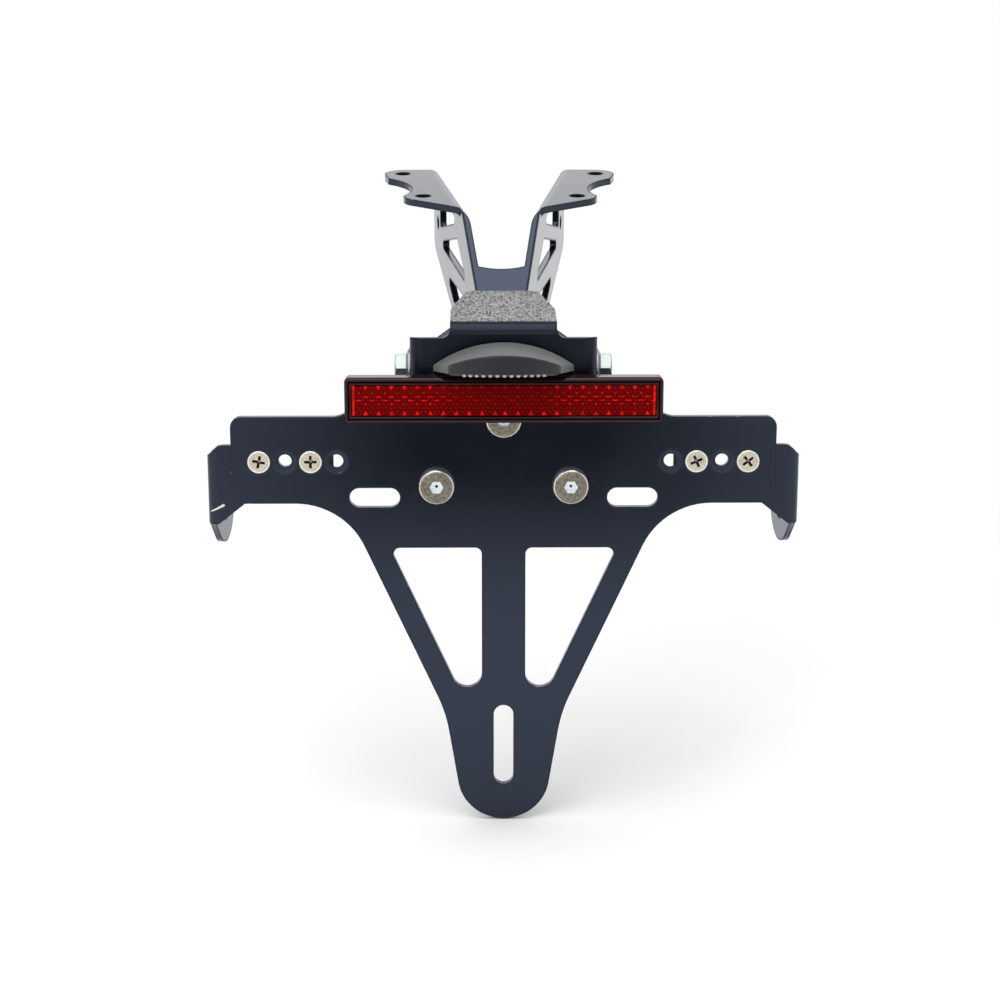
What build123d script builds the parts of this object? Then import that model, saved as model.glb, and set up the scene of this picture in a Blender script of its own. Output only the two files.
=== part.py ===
from build123d import *
import os
from math import asin, atan2, cos, hypot, radians, sin, tan

# Motorbike tail tidy. X runs across the bike, +Y forward to the tail, +Z up.
# The origin is midway between the two number-plate slots, on the carrier's front face.

# Shared fits
hole_play = 0.2
thread_play = 0.05
seat_play = 0.1
bend_inner_r = 2.0

# Number-plate carrier, a flat sheet behind the XZ plane
carrier_t = 2.5
carrier_half_width = 90.4
wing_top_z = 27.5
wing_bottom_z = -1.95
wing_corner_r = 3.5
shoulder_half_width = 49.5
shoulder_top_z = 41.0
shoulder_corner_r = 3.0
shoulder_fillet_r = 7.0
lamp_tab_half_width = 22.9
lamp_tab_side_z = 44.6
lamp_tab_crown_z = 51.5
lamp_tab_fillet_r = 2.5
waist_half_width = 53.3
waist_r = 25.0
flare_half_width = 19.7
flare_z = -75.7
tongue_r = 15.7
tongue_bottom_z = -114.4
flare_r = 50.0
window_top_z = -17.3
window_bar_half = 7.35
window_strip = 7.5
window_top_r = 2.2
window_bottom_r = 5.0
plate_slot_spacing = 85.8
plate_slot_length = 16.8
plate_slot_width = 6.7
tongue_slot_z = -87.4
tongue_slot_length = 28.7

# Round-head screws that hold the carrier on the hinge bracket
carrier_screw_r = 3.0
carrier_screw_x = 22.3
carrier_screw_low_z = 4.2
carrier_screw_high_z = 26.8
carrier_head_r = 6.0
carrier_head_h = 3.2
carrier_head_round = 1.4
carrier_socket_flats = 4.0
carrier_socket_depth = 2.0

# Countersunk screws of the indicator brackets
indicator_row_z = 12.25
indicator_first_x = 55.5
indicator_pitch = 8.57
indicator_screw_r = 2.0
indicator_head_r = 3.75
indicator_drive_length = 4.2
indicator_drive_width = 0.9
indicator_drive_depth = 1.2

# Indicator brackets, folded behind the carrier's wings
indicator_t = 2.0
indicator_inner_x = 56.6
indicator_bend_x = 98.9
indicator_top_z = 17.4
indicator_low_z = 4.2
indicator_chamfer = 4.0
indicator_bend_low_z = -9.7
indicator_slope_x = 77.8
indicator_hole_r = 4.25
indicator_hole_y = 22.0
indicator_hole_z = -8.6
indicator_end_r = 12.0
indicator_bend_r = 1.5

# Hinge bracket: leg behind the carrier, ears at the pivot, hood above
hinge_t = 2.5
ear_half_width = 31.0
ear_top_z = 53.3
ear_bottom_z = 27.2
ear_end_r = 10.5
hood_half_width = 17.6
hood_top_z = 59.6
hood_neck_r = 3.0
hood_taper_y = 25.0
hood_end_y = 55.0
hood_end_half_width = 12.4
hood_corner_r = 3.0
leg_half_width = 30.0
leg_top_z = 25.0
leg_bottom_z = -6.0
leg_corner_r = 4.0

# Pivot of the plate head
pivot_y = 15.0
pivot_z = 40.6
pivot_bolt_r = 3.0
pivot_head_h = 5.2
pivot_head_flats = 10.0
pivot_flange_r = 7.2
pivot_flange_h = 1.4
lug_end_r = 7.4
lug_half_base = 11.0

# Main bracket, folded from one sheet
main_t = 2.5
main_bend_r = 1.5
flange_y = 100.0
flange_z = 84.65
flange_rise = 6.1
wall_splay = 9.2
wall_half_gap = 12.55
flange_length = 66.2
tail_hole_r = 2.85
tail_near_hole = (28.9, 19.2)
tail_far_hole = (37.7, 58.7)
tail_lobe_r = 7.2
notch_r = 24.0
notch_centre = (57.6, 31.0)
wall_far = 67.5
wall_kink = (-18.0, -9.5)
wall_near_end = -42.0
wall_trim = 2.0
wall_edge_slope = 0.671
wall_far_depth = 30.5
wall_knee = (20.7, 44.4)
wall_toe = (-38.6, 48.9)
wall_corner_r = 5.0
wall_belly_r = 40.0
lattice_r = 1.6
clip_hole_r = 2.4
clip_hole = (56.9, -18.8)
web_top_drop = 10.0
web_dip = 1.8
web_flare_drop = 20.0
web_fold_r = 1.0
web_neck_r = 6.0
web_shoulder_r = 4.0

# Reflector on the carrier's shoulder
reflector_width = 104.0
reflector_height = 15.2
reflector_depth = 6.0
reflector_z = 34.85
reflector_standoff = 3.6
reflector_corner_r = 1.3
reflector_rim = 2.4
reflector_bevel = 1.0
reflector_back_t = 2.0
reflector_stud_r = 2.5
reflector_stud_x = 42.0
reflector_stud_hold = 1.4
reflector_spacer_r = 5.0
reflector_lens_step = 0.4
reflector_lens_edge_r = 0.5

# Number-plate lamp on the carrier's top tab
lamp_back_half_width = 23.1
lamp_side_z = 44.8
lamp_crown_z = 52.4
lamp_reach = 24.0
lamp_corner_x = 18.0
lamp_corner_y = -16.6
lamp_back_low_z = 42.9
lamp_front_low_z = 46.2
lamp_corner_r = 4.0
lamp_edge_r = 0.8
lamp_rim = 1.5
lamp_lens_back_y = 7.5
lamp_lens_t = 1.8
lamp_lens_proud = 0.6
lamp_screw_r = 1.5
lamp_screw_x = 11.0
lamp_screw_z = 46.1
lamp_screw_hold = 5.0
lamp_screw_head_r = 2.8
lamp_screw_head_h = 2.0
lamp_cable_r = 2.5
lamp_cable_depth = 4.0
board_length = 21.0
board_width = 6.0
board_t = 1.0
board_play = 0.2
led_size = 2.6
led_h = 0.8
led_pitch = 7.0

# Washers and nuts, by the thread they fit
m4_nut_flats = 7.0
m4_nut_h = 3.2
m4_washer_r = 4.5
m4_washer_t = 0.8
m5_nut_flats = 8.0
m5_nut_h = 4.0
m5_washer_r = 5.0
m5_washer_t = 1.0
m6_nut_flats = 10.0
m6_nut_h = 5.0
m6_washer_r = 6.0
m6_washer_t = 1.2
thread_end = 1.2


# Derived planes and places
carrier_back = Plane.XZ.offset(-carrier_t)
hinge_back_y = carrier_t + hinge_t
indicator_back_y = carrier_t + indicator_t
ear_inner_x = ear_half_width - hinge_t
lug_outer_x = ear_inner_x - seat_play
lug_inner_x = lug_outer_x - main_t

rise = radians(flange_rise)
splay = radians(wall_splay)
flange_plane = Plane(origin=(0, flange_y, flange_z), x_dir=(1, 0, 0), z_dir=(0, -sin(rise), cos(rise)))
bend_dir = Vector(sin(splay), cos(splay) * cos(rise), cos(splay) * sin(rise))
wall_out = Vector(cos(splay), -sin(splay) * cos(rise), -sin(splay) * sin(rise))
wall_plane = Plane(origin=flange_plane.from_local_coords((wall_half_gap, 0, 0)), x_dir=bend_dir, z_dir=wall_out)

# The web lies in the plane of the walls' sloping near edges
edge_along = cos(splay)
edge_length = hypot(edge_along, wall_edge_slope)
web_origin = flange_plane.from_local_coords((0, wall_kink[0] * cos(splay), wall_kink[1]))
web_down = flange_plane.y_dir * (-edge_along / edge_length) - flange_plane.z_dir * (wall_edge_slope / edge_length)
web_plane = Plane(origin=web_origin, x_dir=(1, 0, 0), z_dir=Vector(1, 0, 0).cross(-web_down))
web_narrowing = tan(splay) * edge_along / edge_length
web_start_half = wall_half_gap + wall_kink[0] * sin(splay) + main_t / cos(splay)
web_wall_end = (wall_kink[0] - wall_near_end) * edge_length
pivot_on_web = web_plane.to_local_coords(Vector(0, pivot_y, pivot_z))
lug_drop = -pivot_on_web.Y
web_end_drop = lug_drop + lug_half_base


def web_half(drop: float) -> float:
    """Half-width of the web over the walls' outer faces, at a distance down its slope."""
    return web_start_half - web_narrowing * drop


def near_edge(along: float) -> tuple[float, float]:
    """Point of the wall's sloping near edge, in the wall's own plane."""
    return (along, wall_kink[1] + wall_edge_slope * (along - wall_kink[0]))


# Number-plate carrier
tongue_z = tongue_bottom_z + tongue_r
flare_away = hypot(flare_half_width, flare_z - tongue_z)
tongue_lean = atan2(flare_half_width, flare_z - tongue_z) - asin(tongue_r / flare_away)
tongue_side = (tongue_r * cos(tongue_lean), tongue_z - tongue_r * sin(tongue_lean))
body_slope = (waist_half_width - flare_half_width) / (wing_bottom_z - flare_z)
body_lean = atan2(body_slope, 1)
window_outer_x = (
    waist_half_width
    + body_slope * (window_top_z - wing_bottom_z)
    - window_strip / cos(body_lean)
)
window_low_z = window_top_z - (window_outer_x - window_bar_half) / body_slope
carrier_screw_places = [
    (-carrier_screw_x, carrier_screw_low_z),
    (carrier_screw_x, carrier_screw_low_z),
    (0, carrier_screw_high_z),
]
indicator_xs = [indicator_first_x + indicator_pitch * step for step in range(4)]
indicator_holes = [(side * x, indicator_row_z) for side in (-1, 1) for x in indicator_xs]
indicator_screw_places = [(side * x, indicator_row_z) for side in (-1, 1) for x in indicator_xs[1::2]]
reflector_stud_places = [(-reflector_stud_x, reflector_z), (reflector_stud_x, reflector_z)]
lamp_screw_places = [(-lamp_screw_x, lamp_screw_z), (lamp_screw_x, lamp_screw_z)]

with BuildPart() as plate_carrier:
    with BuildSketch(Plane.XZ):
        with BuildLine():
            ThreePointArc((-tongue_side[0], tongue_side[1]), (0, tongue_bottom_z), tongue_side)
            FilletPolyline(
                tongue_side,
                (flare_half_width, flare_z),
                (waist_half_width, wing_bottom_z),
                (carrier_half_width, wing_bottom_z),
                (carrier_half_width, wing_top_z),
                (shoulder_half_width, wing_top_z),
                (shoulder_half_width, shoulder_top_z),
                (lamp_tab_half_width, shoulder_top_z),
                (lamp_tab_half_width, lamp_tab_side_z),
                radius=[
                    flare_r,
                    waist_r,
                    wing_corner_r,
                    wing_corner_r,
                    shoulder_fillet_r,
                    shoulder_corner_r,
                    lamp_tab_fillet_r,
                ],
            )
            mirror(about=Plane.YZ)
            ThreePointArc(
                (-lamp_tab_half_width, lamp_tab_side_z),
                (0, lamp_tab_crown_z),
                (lamp_tab_half_width, lamp_tab_side_z),
            )
        make_face()
        with BuildLine():
            FilletPolyline(
                (window_bar_half, window_top_z),
                (window_outer_x, window_top_z),
                (window_bar_half, window_low_z),
                radius=[window_top_r, window_top_r, window_bottom_r],
                close=True,
            )
        make_face(mode=Mode.SUBTRACT)
        with BuildLine():
            FilletPolyline(
                (-window_bar_half, window_top_z),
                (-window_outer_x, window_top_z),
                (-window_bar_half, window_low_z),
                radius=[window_top_r, window_top_r, window_bottom_r],
                close=True,
            )
        make_face(mode=Mode.SUBTRACT)
        with GridLocations(plate_slot_spacing, 0, 2, 1):
            SlotOverall(plate_slot_length, plate_slot_width, mode=Mode.SUBTRACT)
        with Locations((0, tongue_slot_z)):
            SlotOverall(tongue_slot_length, plate_slot_width, rotation=90, mode=Mode.SUBTRACT)
        with Locations(*carrier_screw_places):
            Circle(carrier_screw_r + hole_play, mode=Mode.SUBTRACT)
        with Locations(*reflector_stud_places):
            Circle(reflector_stud_r + hole_play, mode=Mode.SUBTRACT)
        with Locations(*lamp_screw_places):
            Circle(lamp_screw_r + hole_play, mode=Mode.SUBTRACT)
        with Locations((0, lamp_screw_z)):
            Circle(lamp_cable_r, mode=Mode.SUBTRACT)
    extrude(amount=-carrier_t)
    with Locations(Plane.XZ):
        with Locations(*indicator_holes):
            CounterSinkHole(indicator_screw_r + hole_play, indicator_head_r + seat_play, carrier_t)
plate_carrier.part.label = "plate_carrier"

# Hinge bracket: ears and their front face first, then the leg, the hood and the holes
with BuildPart() as hinge_bracket:
    with BuildSketch(Plane.YZ):
        with Locations((pivot_y, pivot_z)):
            Circle(ear_end_r)
        with Locations((carrier_t + hinge_t / 2, (ear_top_z + ear_bottom_z) / 2)):
            Rectangle(hinge_t, ear_top_z - ear_bottom_z)
        make_hull()
    extrude(amount=ear_half_width, both=True)
    ear_corners = hinge_bracket.edges().filter_by(Axis.Z).group_by(Axis.Y)[0]
    fillet(ear_corners, hinge_t + bend_inner_r)
    with BuildSketch(Plane.XY.offset(ear_bottom_z - 1)):
        with BuildLine():
            FilletPolyline(
                (-ear_inner_x, pivot_y + 2 * ear_end_r),
                (-ear_inner_x, hinge_back_y),
                (ear_inner_x, hinge_back_y),
                (ear_inner_x, pivot_y + 2 * ear_end_r),
                radius=bend_inner_r,
                close=False,
            )
            Line((ear_inner_x, pivot_y + 2 * ear_end_r), (-ear_inner_x, pivot_y + 2 * ear_end_r))
        make_face()
    extrude(amount=ear_top_z - ear_bottom_z + 2, mode=Mode.SUBTRACT)
    with BuildSketch(Plane.YZ) as hood_side:
        with BuildLine():
            FilletPolyline(
                (carrier_t, ear_bottom_z),
                (carrier_t, hood_top_z),
                (hood_end_y, hood_top_z),
                radius=hinge_t + bend_inner_r,
            )
            Line((hood_end_y, hood_top_z), (hood_end_y, hood_top_z - hinge_t))
            FilletPolyline(
                (hood_end_y, hood_top_z - hinge_t),
                (hinge_back_y, hood_top_z - hinge_t),
                (hinge_back_y, ear_bottom_z),
                radius=bend_inner_r,
            )
            Line((hinge_back_y, ear_bottom_z), (carrier_t, ear_bottom_z))
        make_face()
    extrude(amount=hood_half_width + hood_neck_r, both=True)
    with BuildSketch(carrier_back):
        with BuildLine():
            FilletPolyline(
                (ear_half_width + 1, hood_top_z + 1),
                (hood_half_width, hood_top_z + 1),
                (hood_half_width, ear_top_z),
                (ear_half_width + 1, ear_top_z),
                radius=[0, hood_neck_r],
            )
            Line((ear_half_width + 1, ear_top_z), (ear_half_width + 1, hood_top_z + 1))
        make_face()
        mirror(about=Plane.YZ)
    extrude(amount=-hood_end_y, mode=Mode.SUBTRACT)
    with BuildSketch(Plane.XY.offset(hood_top_z)):
        with BuildLine():
            FilletPolyline(
                (hood_half_width + 1, hood_end_y + 1),
                (hood_half_width + 1, hood_taper_y),
                (hood_half_width, hood_taper_y),
                (hood_end_half_width, hood_end_y),
                (hood_end_half_width, hood_end_y + 1),
                radius=0,
            )
            Line((hood_end_half_width, hood_end_y + 1), (hood_half_width + 1, hood_end_y + 1))
        make_face()
        mirror(about=Plane.YZ)
    extrude(amount=-hinge_t, mode=Mode.SUBTRACT)
    hood_corners = hinge_bracket.edges().filter_by(Axis.Z).group_by(Axis.Y)[-1]
    fillet(hood_corners, hood_corner_r)
    with BuildSketch(carrier_back):
        with Locations((0, (leg_top_z + leg_bottom_z) / 2)):
            RectangleRounded(2 * leg_half_width, leg_top_z - leg_bottom_z, leg_corner_r)
        with Locations((0, (leg_top_z + ear_bottom_z) / 2)):
            Rectangle(2 * (ear_inner_x - bend_inner_r), 2 * (ear_bottom_z - leg_top_z))
    extrude(amount=-hinge_t)
    with BuildSketch(carrier_back):
        with Locations(*carrier_screw_places):
            Circle(carrier_screw_r + hole_play)
        with Locations(*lamp_screw_places):
            Circle(lamp_screw_r + hole_play)
        with Locations((0, lamp_screw_z)):
            Circle(lamp_cable_r)
    extrude(amount=-hinge_t, mode=Mode.SUBTRACT)
    with BuildSketch(Plane.YZ):
        with Locations((pivot_y, pivot_z)):
            Circle(pivot_bolt_r + hole_play)
    extrude(amount=ear_half_width, both=True, mode=Mode.SUBTRACT)
hinge_bracket.part.label = "hinge_bracket"

# Main bracket: the right wall and flange, their mirror, then the web and the pivot lugs
wall_near_top = wall_kink[0] - wall_kink[1] / wall_edge_slope
wall_outline = [
    (wall_near_top - wall_trim, 0),
    (near_edge(wall_near_end)[0] - wall_trim, near_edge(wall_near_end)[1]),
    (wall_toe[0], -wall_toe[1]),
    (wall_knee[0], -wall_knee[1]),
    (wall_far, -wall_far_depth),
    (wall_far, 0),
]
lattice = [
    [(3.6, -6.4), (50.8, -6.2), (51.0, -19.2)],
    [(7.2, -13.5), (-15.3, -25.1), (55.3, -26.1)],
    [(33.6, -33.8), (-24.0, -30.7), (16.6, -40.4)],
]
with BuildPart() as main_bracket:
    with BuildSketch(wall_plane):
        with BuildLine():
            FilletPolyline(*wall_outline, radius=[0, 0, wall_corner_r, wall_belly_r, wall_corner_r, 0], close=True)
        make_face()
        for window in lattice:
            with BuildLine():
                FilletPolyline(*window, radius=lattice_r, close=True)
            make_face(mode=Mode.SUBTRACT)
        with Locations(clip_hole):
            Circle(clip_hole_r, mode=Mode.SUBTRACT)
    extrude(amount=main_t)
    with BuildSketch(flange_plane):
        with Locations(tail_near_hole, tail_far_hole):
            Circle(tail_lobe_r)
        with BuildLine():
            Polyline(
                (wall_half_gap, 0),
                (wall_half_gap + main_t, 0),
                (wall_half_gap + flange_length * tan(splay) + main_t, flange_length),
                (wall_half_gap + flange_length * tan(splay), flange_length),
                close=True,
            )
        make_face()
        make_hull()
        with Locations(notch_centre):
            Circle(notch_r, mode=Mode.SUBTRACT)
        with Locations(tail_near_hole, tail_far_hole):
            Circle(tail_hole_r, mode=Mode.SUBTRACT)
    extrude(amount=-main_t)
    bend_edges = main_bracket.edges().filter_by(Axis((0, 0, 0), bend_dir))
    outer_bend = bend_edges.sort_by_distance(wall_plane.origin + bend_dir * (flange_length / 2))[0]
    fillet(outer_bend, main_t + main_bend_r)
    bend_edges = main_bracket.edges().filter_by(Axis((0, 0, 0), bend_dir))
    inner_point = wall_plane.from_local_coords((flange_length / 2, -main_t, main_t))
    fillet(bend_edges.sort_by_distance(inner_point)[0], main_bend_r)
    mirror(about=Plane.YZ)
    with BuildSketch(web_plane):
        with BuildLine():
            FilletPolyline(
                (web_half(web_top_drop) - main_t / 2, -web_top_drop),
                (web_half(web_wall_end) - main_t / 2, -web_wall_end),
                (lug_outer_x, -web_wall_end - web_flare_drop),
                (lug_outer_x, -web_end_drop),
                (0, -web_end_drop),
                radius=[web_neck_r, web_shoulder_r, 0],
            )
            mirror(about=Plane.YZ)
            ThreePointArc(
                (main_t / 2 - web_half(web_top_drop), -web_top_drop),
                (0, -web_top_drop - web_dip),
                (web_half(web_top_drop) - main_t / 2, -web_top_drop),
            )
        make_face()
    extrude(amount=-main_t)
    with BuildSketch(web_plane):
        with Locations((0, -web_wall_end - main_t)):
            Rectangle(2 * lug_outer_x, 2 * web_wall_end, align=(Align.CENTER, Align.MIN))
    extrude(amount=wall_trim, mode=Mode.SUBTRACT)
    for side in (-1, 1):
        fold_place = web_plane.from_local_coords((side * web_half(web_wall_end / 2), -web_wall_end / 2, 0))
        fillet(main_bracket.edges().sort_by_distance(fold_place)[0], web_fold_r)
        fold_place = web_plane.from_local_coords((side * web_half(web_wall_end), -web_wall_end / 2, -main_t))
        fold_edges = main_bracket.edges().filter_by(GeomType.LINE)
        fillet(fold_edges.sort_by_distance(fold_place)[0], main_bend_r)
    lug_base = [
        web_plane.from_local_coords((0, -lug_drop + side * lug_half_base, -main_t)) for side in (-1, 1)
    ]
    for lug_plane, side in ((Plane.YZ.offset(lug_inner_x), 1), (Plane.YZ.offset(-lug_inner_x), -1)):
        with BuildSketch(lug_plane):
            with BuildLine():
                Polyline(
                    (lug_base[0].Y, lug_base[0].Z),
                    (lug_base[1].Y, lug_base[1].Z),
                    (pivot_y, pivot_z),
                    close=True,
                )
            make_face()
            with Locations((pivot_y, pivot_z)):
                Circle(lug_end_r)
            make_hull()
            with Locations((pivot_y, pivot_z)):
                Circle(pivot_bolt_r + hole_play, mode=Mode.SUBTRACT)
        extrude(amount=side * main_t)
main_bracket.part.label = "main_bracket"

# Indicator brackets: a strip folded behind the carrier's wing, its outline cuts, then the rounded wing
indicator_wing_top_z = indicator_top_z - indicator_chamfer
indicator_fold = indicator_t + indicator_bend_r
indicator_flat_y = carrier_t + indicator_fold + 1
with BuildPart() as right_indicator_bracket:
    with BuildSketch(Plane.XY.offset(indicator_bend_low_z)):
        with BuildLine():
            FilletPolyline(
                (indicator_inner_x, carrier_t),
                (indicator_bend_x, carrier_t),
                (indicator_bend_x, indicator_flat_y),
                radius=indicator_fold,
            )
            Line((indicator_bend_x, indicator_flat_y), (indicator_bend_x - indicator_t, indicator_flat_y))
            FilletPolyline(
                (indicator_bend_x - indicator_t, indicator_flat_y),
                (indicator_bend_x - indicator_t, indicator_back_y),
                (indicator_inner_x, indicator_back_y),
                radius=indicator_bend_r,
            )
            Line((indicator_inner_x, indicator_back_y), (indicator_inner_x, carrier_t))
        make_face()
    extrude(amount=indicator_top_z - indicator_bend_low_z)
    with BuildSketch(Plane.XZ.offset(-carrier_t)):
        with BuildLine():
            Polyline(
                (indicator_inner_x, indicator_bend_low_z),
                (indicator_inner_x, indicator_low_z),
                (indicator_slope_x, indicator_low_z),
                (indicator_bend_x - indicator_fold, indicator_bend_low_z),
                close=True,
            )
        make_face()
        with BuildLine():
            Polyline(
                (indicator_bend_x, indicator_top_z),
                (indicator_bend_x - indicator_chamfer, indicator_top_z),
                (indicator_bend_x, indicator_wing_top_z),
                close=True,
            )
        make_face()
        with Locations(*[(x, indicator_row_z) for x in indicator_xs[1:]]):
            Circle(indicator_screw_r + hole_play)
    extrude(amount=-indicator_hole_y, mode=Mode.SUBTRACT)
    with BuildSketch(Plane.YZ.offset(indicator_bend_x)):
        with Locations((carrier_t + indicator_fold, indicator_bend_low_z)):
            Rectangle(1, indicator_wing_top_z - indicator_bend_low_z, align=(Align.MIN, Align.MIN))
        with Locations((indicator_hole_y, indicator_hole_z)):
            Circle(indicator_end_r)
        make_hull()
    extrude(amount=-indicator_t)
    with BuildSketch(Plane.YZ.offset(indicator_bend_x)):
        with Locations((indicator_hole_y, indicator_hole_z)):
            Circle(indicator_hole_r)
    extrude(amount=-indicator_t, mode=Mode.SUBTRACT)
right_indicator_bracket.part.label = "right_indicator_bracket"

with BuildPart() as left_indicator_bracket:
    mirror(right_indicator_bracket.part, about=Plane.YZ)
left_indicator_bracket.part.label = "left_indicator_bracket"

# Countersunk indicator screws with a cross recess, their washers and nuts
indicator_stack_y = indicator_back_y + m4_washer_t + m4_nut_h
with BuildPart() as indicator_screws:
    with BuildSketch(Plane.XZ):
        with Locations(*indicator_screw_places):
            Circle(indicator_screw_r)
    extrude(amount=-indicator_stack_y - thread_end)
    head_drop = indicator_head_r - indicator_screw_r
    with Locations(Plane.XZ.offset(-head_drop)):
        with Locations(*indicator_screw_places):
            Cone(indicator_screw_r, indicator_head_r, head_drop, align=(Align.CENTER, Align.CENTER, Align.MIN))
    with BuildSketch(Plane.XZ):
        with Locations(*indicator_screw_places):
            Rectangle(indicator_drive_length, indicator_drive_width)
            Rectangle(indicator_drive_width, indicator_drive_length)
    extrude(amount=-indicator_drive_depth, mode=Mode.SUBTRACT)
indicator_screws.part.label = "indicator_screws"

with BuildPart() as indicator_washers:
    with BuildSketch(Plane.XZ.offset(-indicator_back_y)):
        with Locations(*indicator_screw_places):
            Circle(m4_washer_r)
            Circle(indicator_screw_r + hole_play, mode=Mode.SUBTRACT)
    extrude(amount=-m4_washer_t)
indicator_washers.part.label = "indicator_washers"

with BuildPart() as indicator_nuts:
    with BuildSketch(Plane.XZ.offset(-indicator_back_y - m4_washer_t)):
        with Locations(*indicator_screw_places):
            RegularPolygon(m4_nut_flats / 2, 6, major_radius=False)
            Circle(indicator_screw_r + thread_play, mode=Mode.SUBTRACT)
    extrude(amount=-m4_nut_h)
indicator_nuts.part.label = "indicator_nuts"

# Round-head carrier screws with a hexagon socket, their washers and nuts
carrier_stack_y = hinge_back_y + m6_washer_t + m6_nut_h
with BuildPart() as carrier_screws:
    with BuildSketch(Plane.XZ):
        with Locations(*carrier_screw_places):
            Circle(carrier_head_r)
    extrude(amount=carrier_head_h)
    head_rims = carrier_screws.faces().filter_by(Axis.Y).group_by(Axis.Y)[0].edges()
    fillet(head_rims, carrier_head_round)
    with BuildSketch(Plane.XZ):
        with Locations(*carrier_screw_places):
            Circle(carrier_screw_r)
    extrude(amount=-carrier_stack_y - thread_end)
    with BuildSketch(Plane.XZ.offset(carrier_head_h)):
        with Locations(*carrier_screw_places):
            RegularPolygon(carrier_socket_flats / 2, 6, major_radius=False)
    extrude(amount=-carrier_socket_depth, mode=Mode.SUBTRACT)
carrier_screws.part.label = "carrier_screws"

with BuildPart() as carrier_washers:
    with BuildSketch(Plane.XZ.offset(-hinge_back_y)):
        with Locations(*carrier_screw_places):
            Circle(m6_washer_r)
            Circle(carrier_screw_r + hole_play, mode=Mode.SUBTRACT)
    extrude(amount=-m6_washer_t)
carrier_washers.part.label = "carrier_washers"

with BuildPart() as carrier_nuts:
    with BuildSketch(Plane.XZ.offset(-hinge_back_y - m6_washer_t)):
        with Locations(*carrier_screw_places):
            RegularPolygon(m6_nut_flats / 2, 6, major_radius=False)
            Circle(carrier_screw_r + thread_play, mode=Mode.SUBTRACT)
    extrude(amount=-m6_nut_h)
carrier_nuts.part.label = "carrier_nuts"

# Flange-head pivot bolts from outside, with a washer and a nut inside each lug
pivot_stack_x = lug_inner_x - m6_washer_t - m6_nut_h - thread_end
with BuildPart() as pivot_bolts:
    with BuildSketch(Plane.YZ.offset(ear_half_width)):
        with Locations((pivot_y, pivot_z)):
            Circle(pivot_flange_r)
    extrude(amount=pivot_flange_h)
    with BuildSketch(Plane.YZ.offset(ear_half_width)):
        with Locations((pivot_y, pivot_z)):
            RegularPolygon(pivot_head_flats / 2, 6, major_radius=False, rotation=30)
    extrude(amount=pivot_head_h)
    with BuildSketch(Plane.YZ.offset(pivot_stack_x)):
        with Locations((pivot_y, pivot_z)):
            Circle(pivot_bolt_r)
    extrude(amount=ear_half_width - pivot_stack_x)
    mirror(about=Plane.YZ)
pivot_bolts.part.label = "pivot_bolts"

with BuildPart() as pivot_washers:
    with BuildSketch(Plane.YZ.offset(lug_inner_x)):
        with Locations((pivot_y, pivot_z)):
            Circle(m6_washer_r)
            Circle(pivot_bolt_r + hole_play, mode=Mode.SUBTRACT)
    extrude(amount=-m6_washer_t)
    mirror(about=Plane.YZ)
pivot_washers.part.label = "pivot_washers"

with BuildPart() as pivot_nuts:
    with BuildSketch(Plane.YZ.offset(lug_inner_x - m6_washer_t)):
        with Locations((pivot_y, pivot_z)):
            RegularPolygon(m6_nut_flats / 2, 6, major_radius=False)
            Circle(pivot_bolt_r + thread_play, mode=Mode.SUBTRACT)
    extrude(amount=-m6_nut_h)
    mirror(about=Plane.YZ)
pivot_nuts.part.label = "pivot_nuts"

# Reflector: a bevelled tray, its red lens, and studs that pass through spacers and the carrier
reflector_front_y = reflector_standoff + reflector_depth
field_width = reflector_width - 2 * reflector_rim
field_height = reflector_height - 2 * reflector_rim
with BuildPart() as reflector_housing:
    with BuildSketch(Plane.XZ.offset(reflector_standoff)):
        with Locations((0, reflector_z)):
            RectangleRounded(reflector_width, reflector_height, reflector_corner_r)
    extrude(amount=reflector_depth)
    chamfer(reflector_housing.faces().sort_by(Axis.Y)[0].edges(), reflector_bevel)
    with BuildSketch(Plane.XZ.offset(reflector_standoff + reflector_back_t)):
        with Locations((0, reflector_z)):
            Rectangle(field_width, field_height)
    extrude(amount=reflector_depth, mode=Mode.SUBTRACT)
    with BuildSketch(Plane.XZ.offset(reflector_standoff)):
        with Locations(*reflector_stud_places):
            Circle(reflector_stud_r + thread_play)
    extrude(amount=reflector_stud_hold, mode=Mode.SUBTRACT)
reflector_housing.part.label = "reflector_housing"

with BuildPart() as reflector_lens:
    with BuildSketch(Plane.XZ.offset(reflector_standoff + reflector_back_t)):
        with Locations((0, reflector_z)):
            Rectangle(field_width - 2 * seat_play, field_height - 2 * seat_play)
    extrude(amount=reflector_depth - reflector_back_t - reflector_lens_step)
    fillet(reflector_lens.faces().sort_by(Axis.Y)[0].edges(), reflector_lens_edge_r)
reflector_lens.part.label = "reflector_lens"

reflector_stack_y = carrier_t + m5_washer_t + m5_nut_h + thread_end
with BuildPart() as reflector_studs:
    with BuildSketch(Plane.XZ.offset(reflector_standoff + reflector_stud_hold)):
        with Locations(*reflector_stud_places):
            Circle(reflector_stud_r)
    extrude(amount=-reflector_stack_y - reflector_standoff - reflector_stud_hold)
reflector_studs.part.label = "reflector_studs"

with BuildPart() as reflector_spacers:
    with BuildSketch(Plane.XZ):
        with Locations(*reflector_stud_places):
            Circle(reflector_spacer_r)
            Circle(reflector_stud_r + hole_play, mode=Mode.SUBTRACT)
    extrude(amount=reflector_standoff)
reflector_spacers.part.label = "reflector_spacers"

with BuildPart() as reflector_washers:
    with BuildSketch(carrier_back):
        with Locations(*reflector_stud_places):
            Circle(m5_washer_r)
            Circle(reflector_stud_r + hole_play, mode=Mode.SUBTRACT)
    extrude(amount=-m5_washer_t)
reflector_washers.part.label = "reflector_washers"

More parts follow.
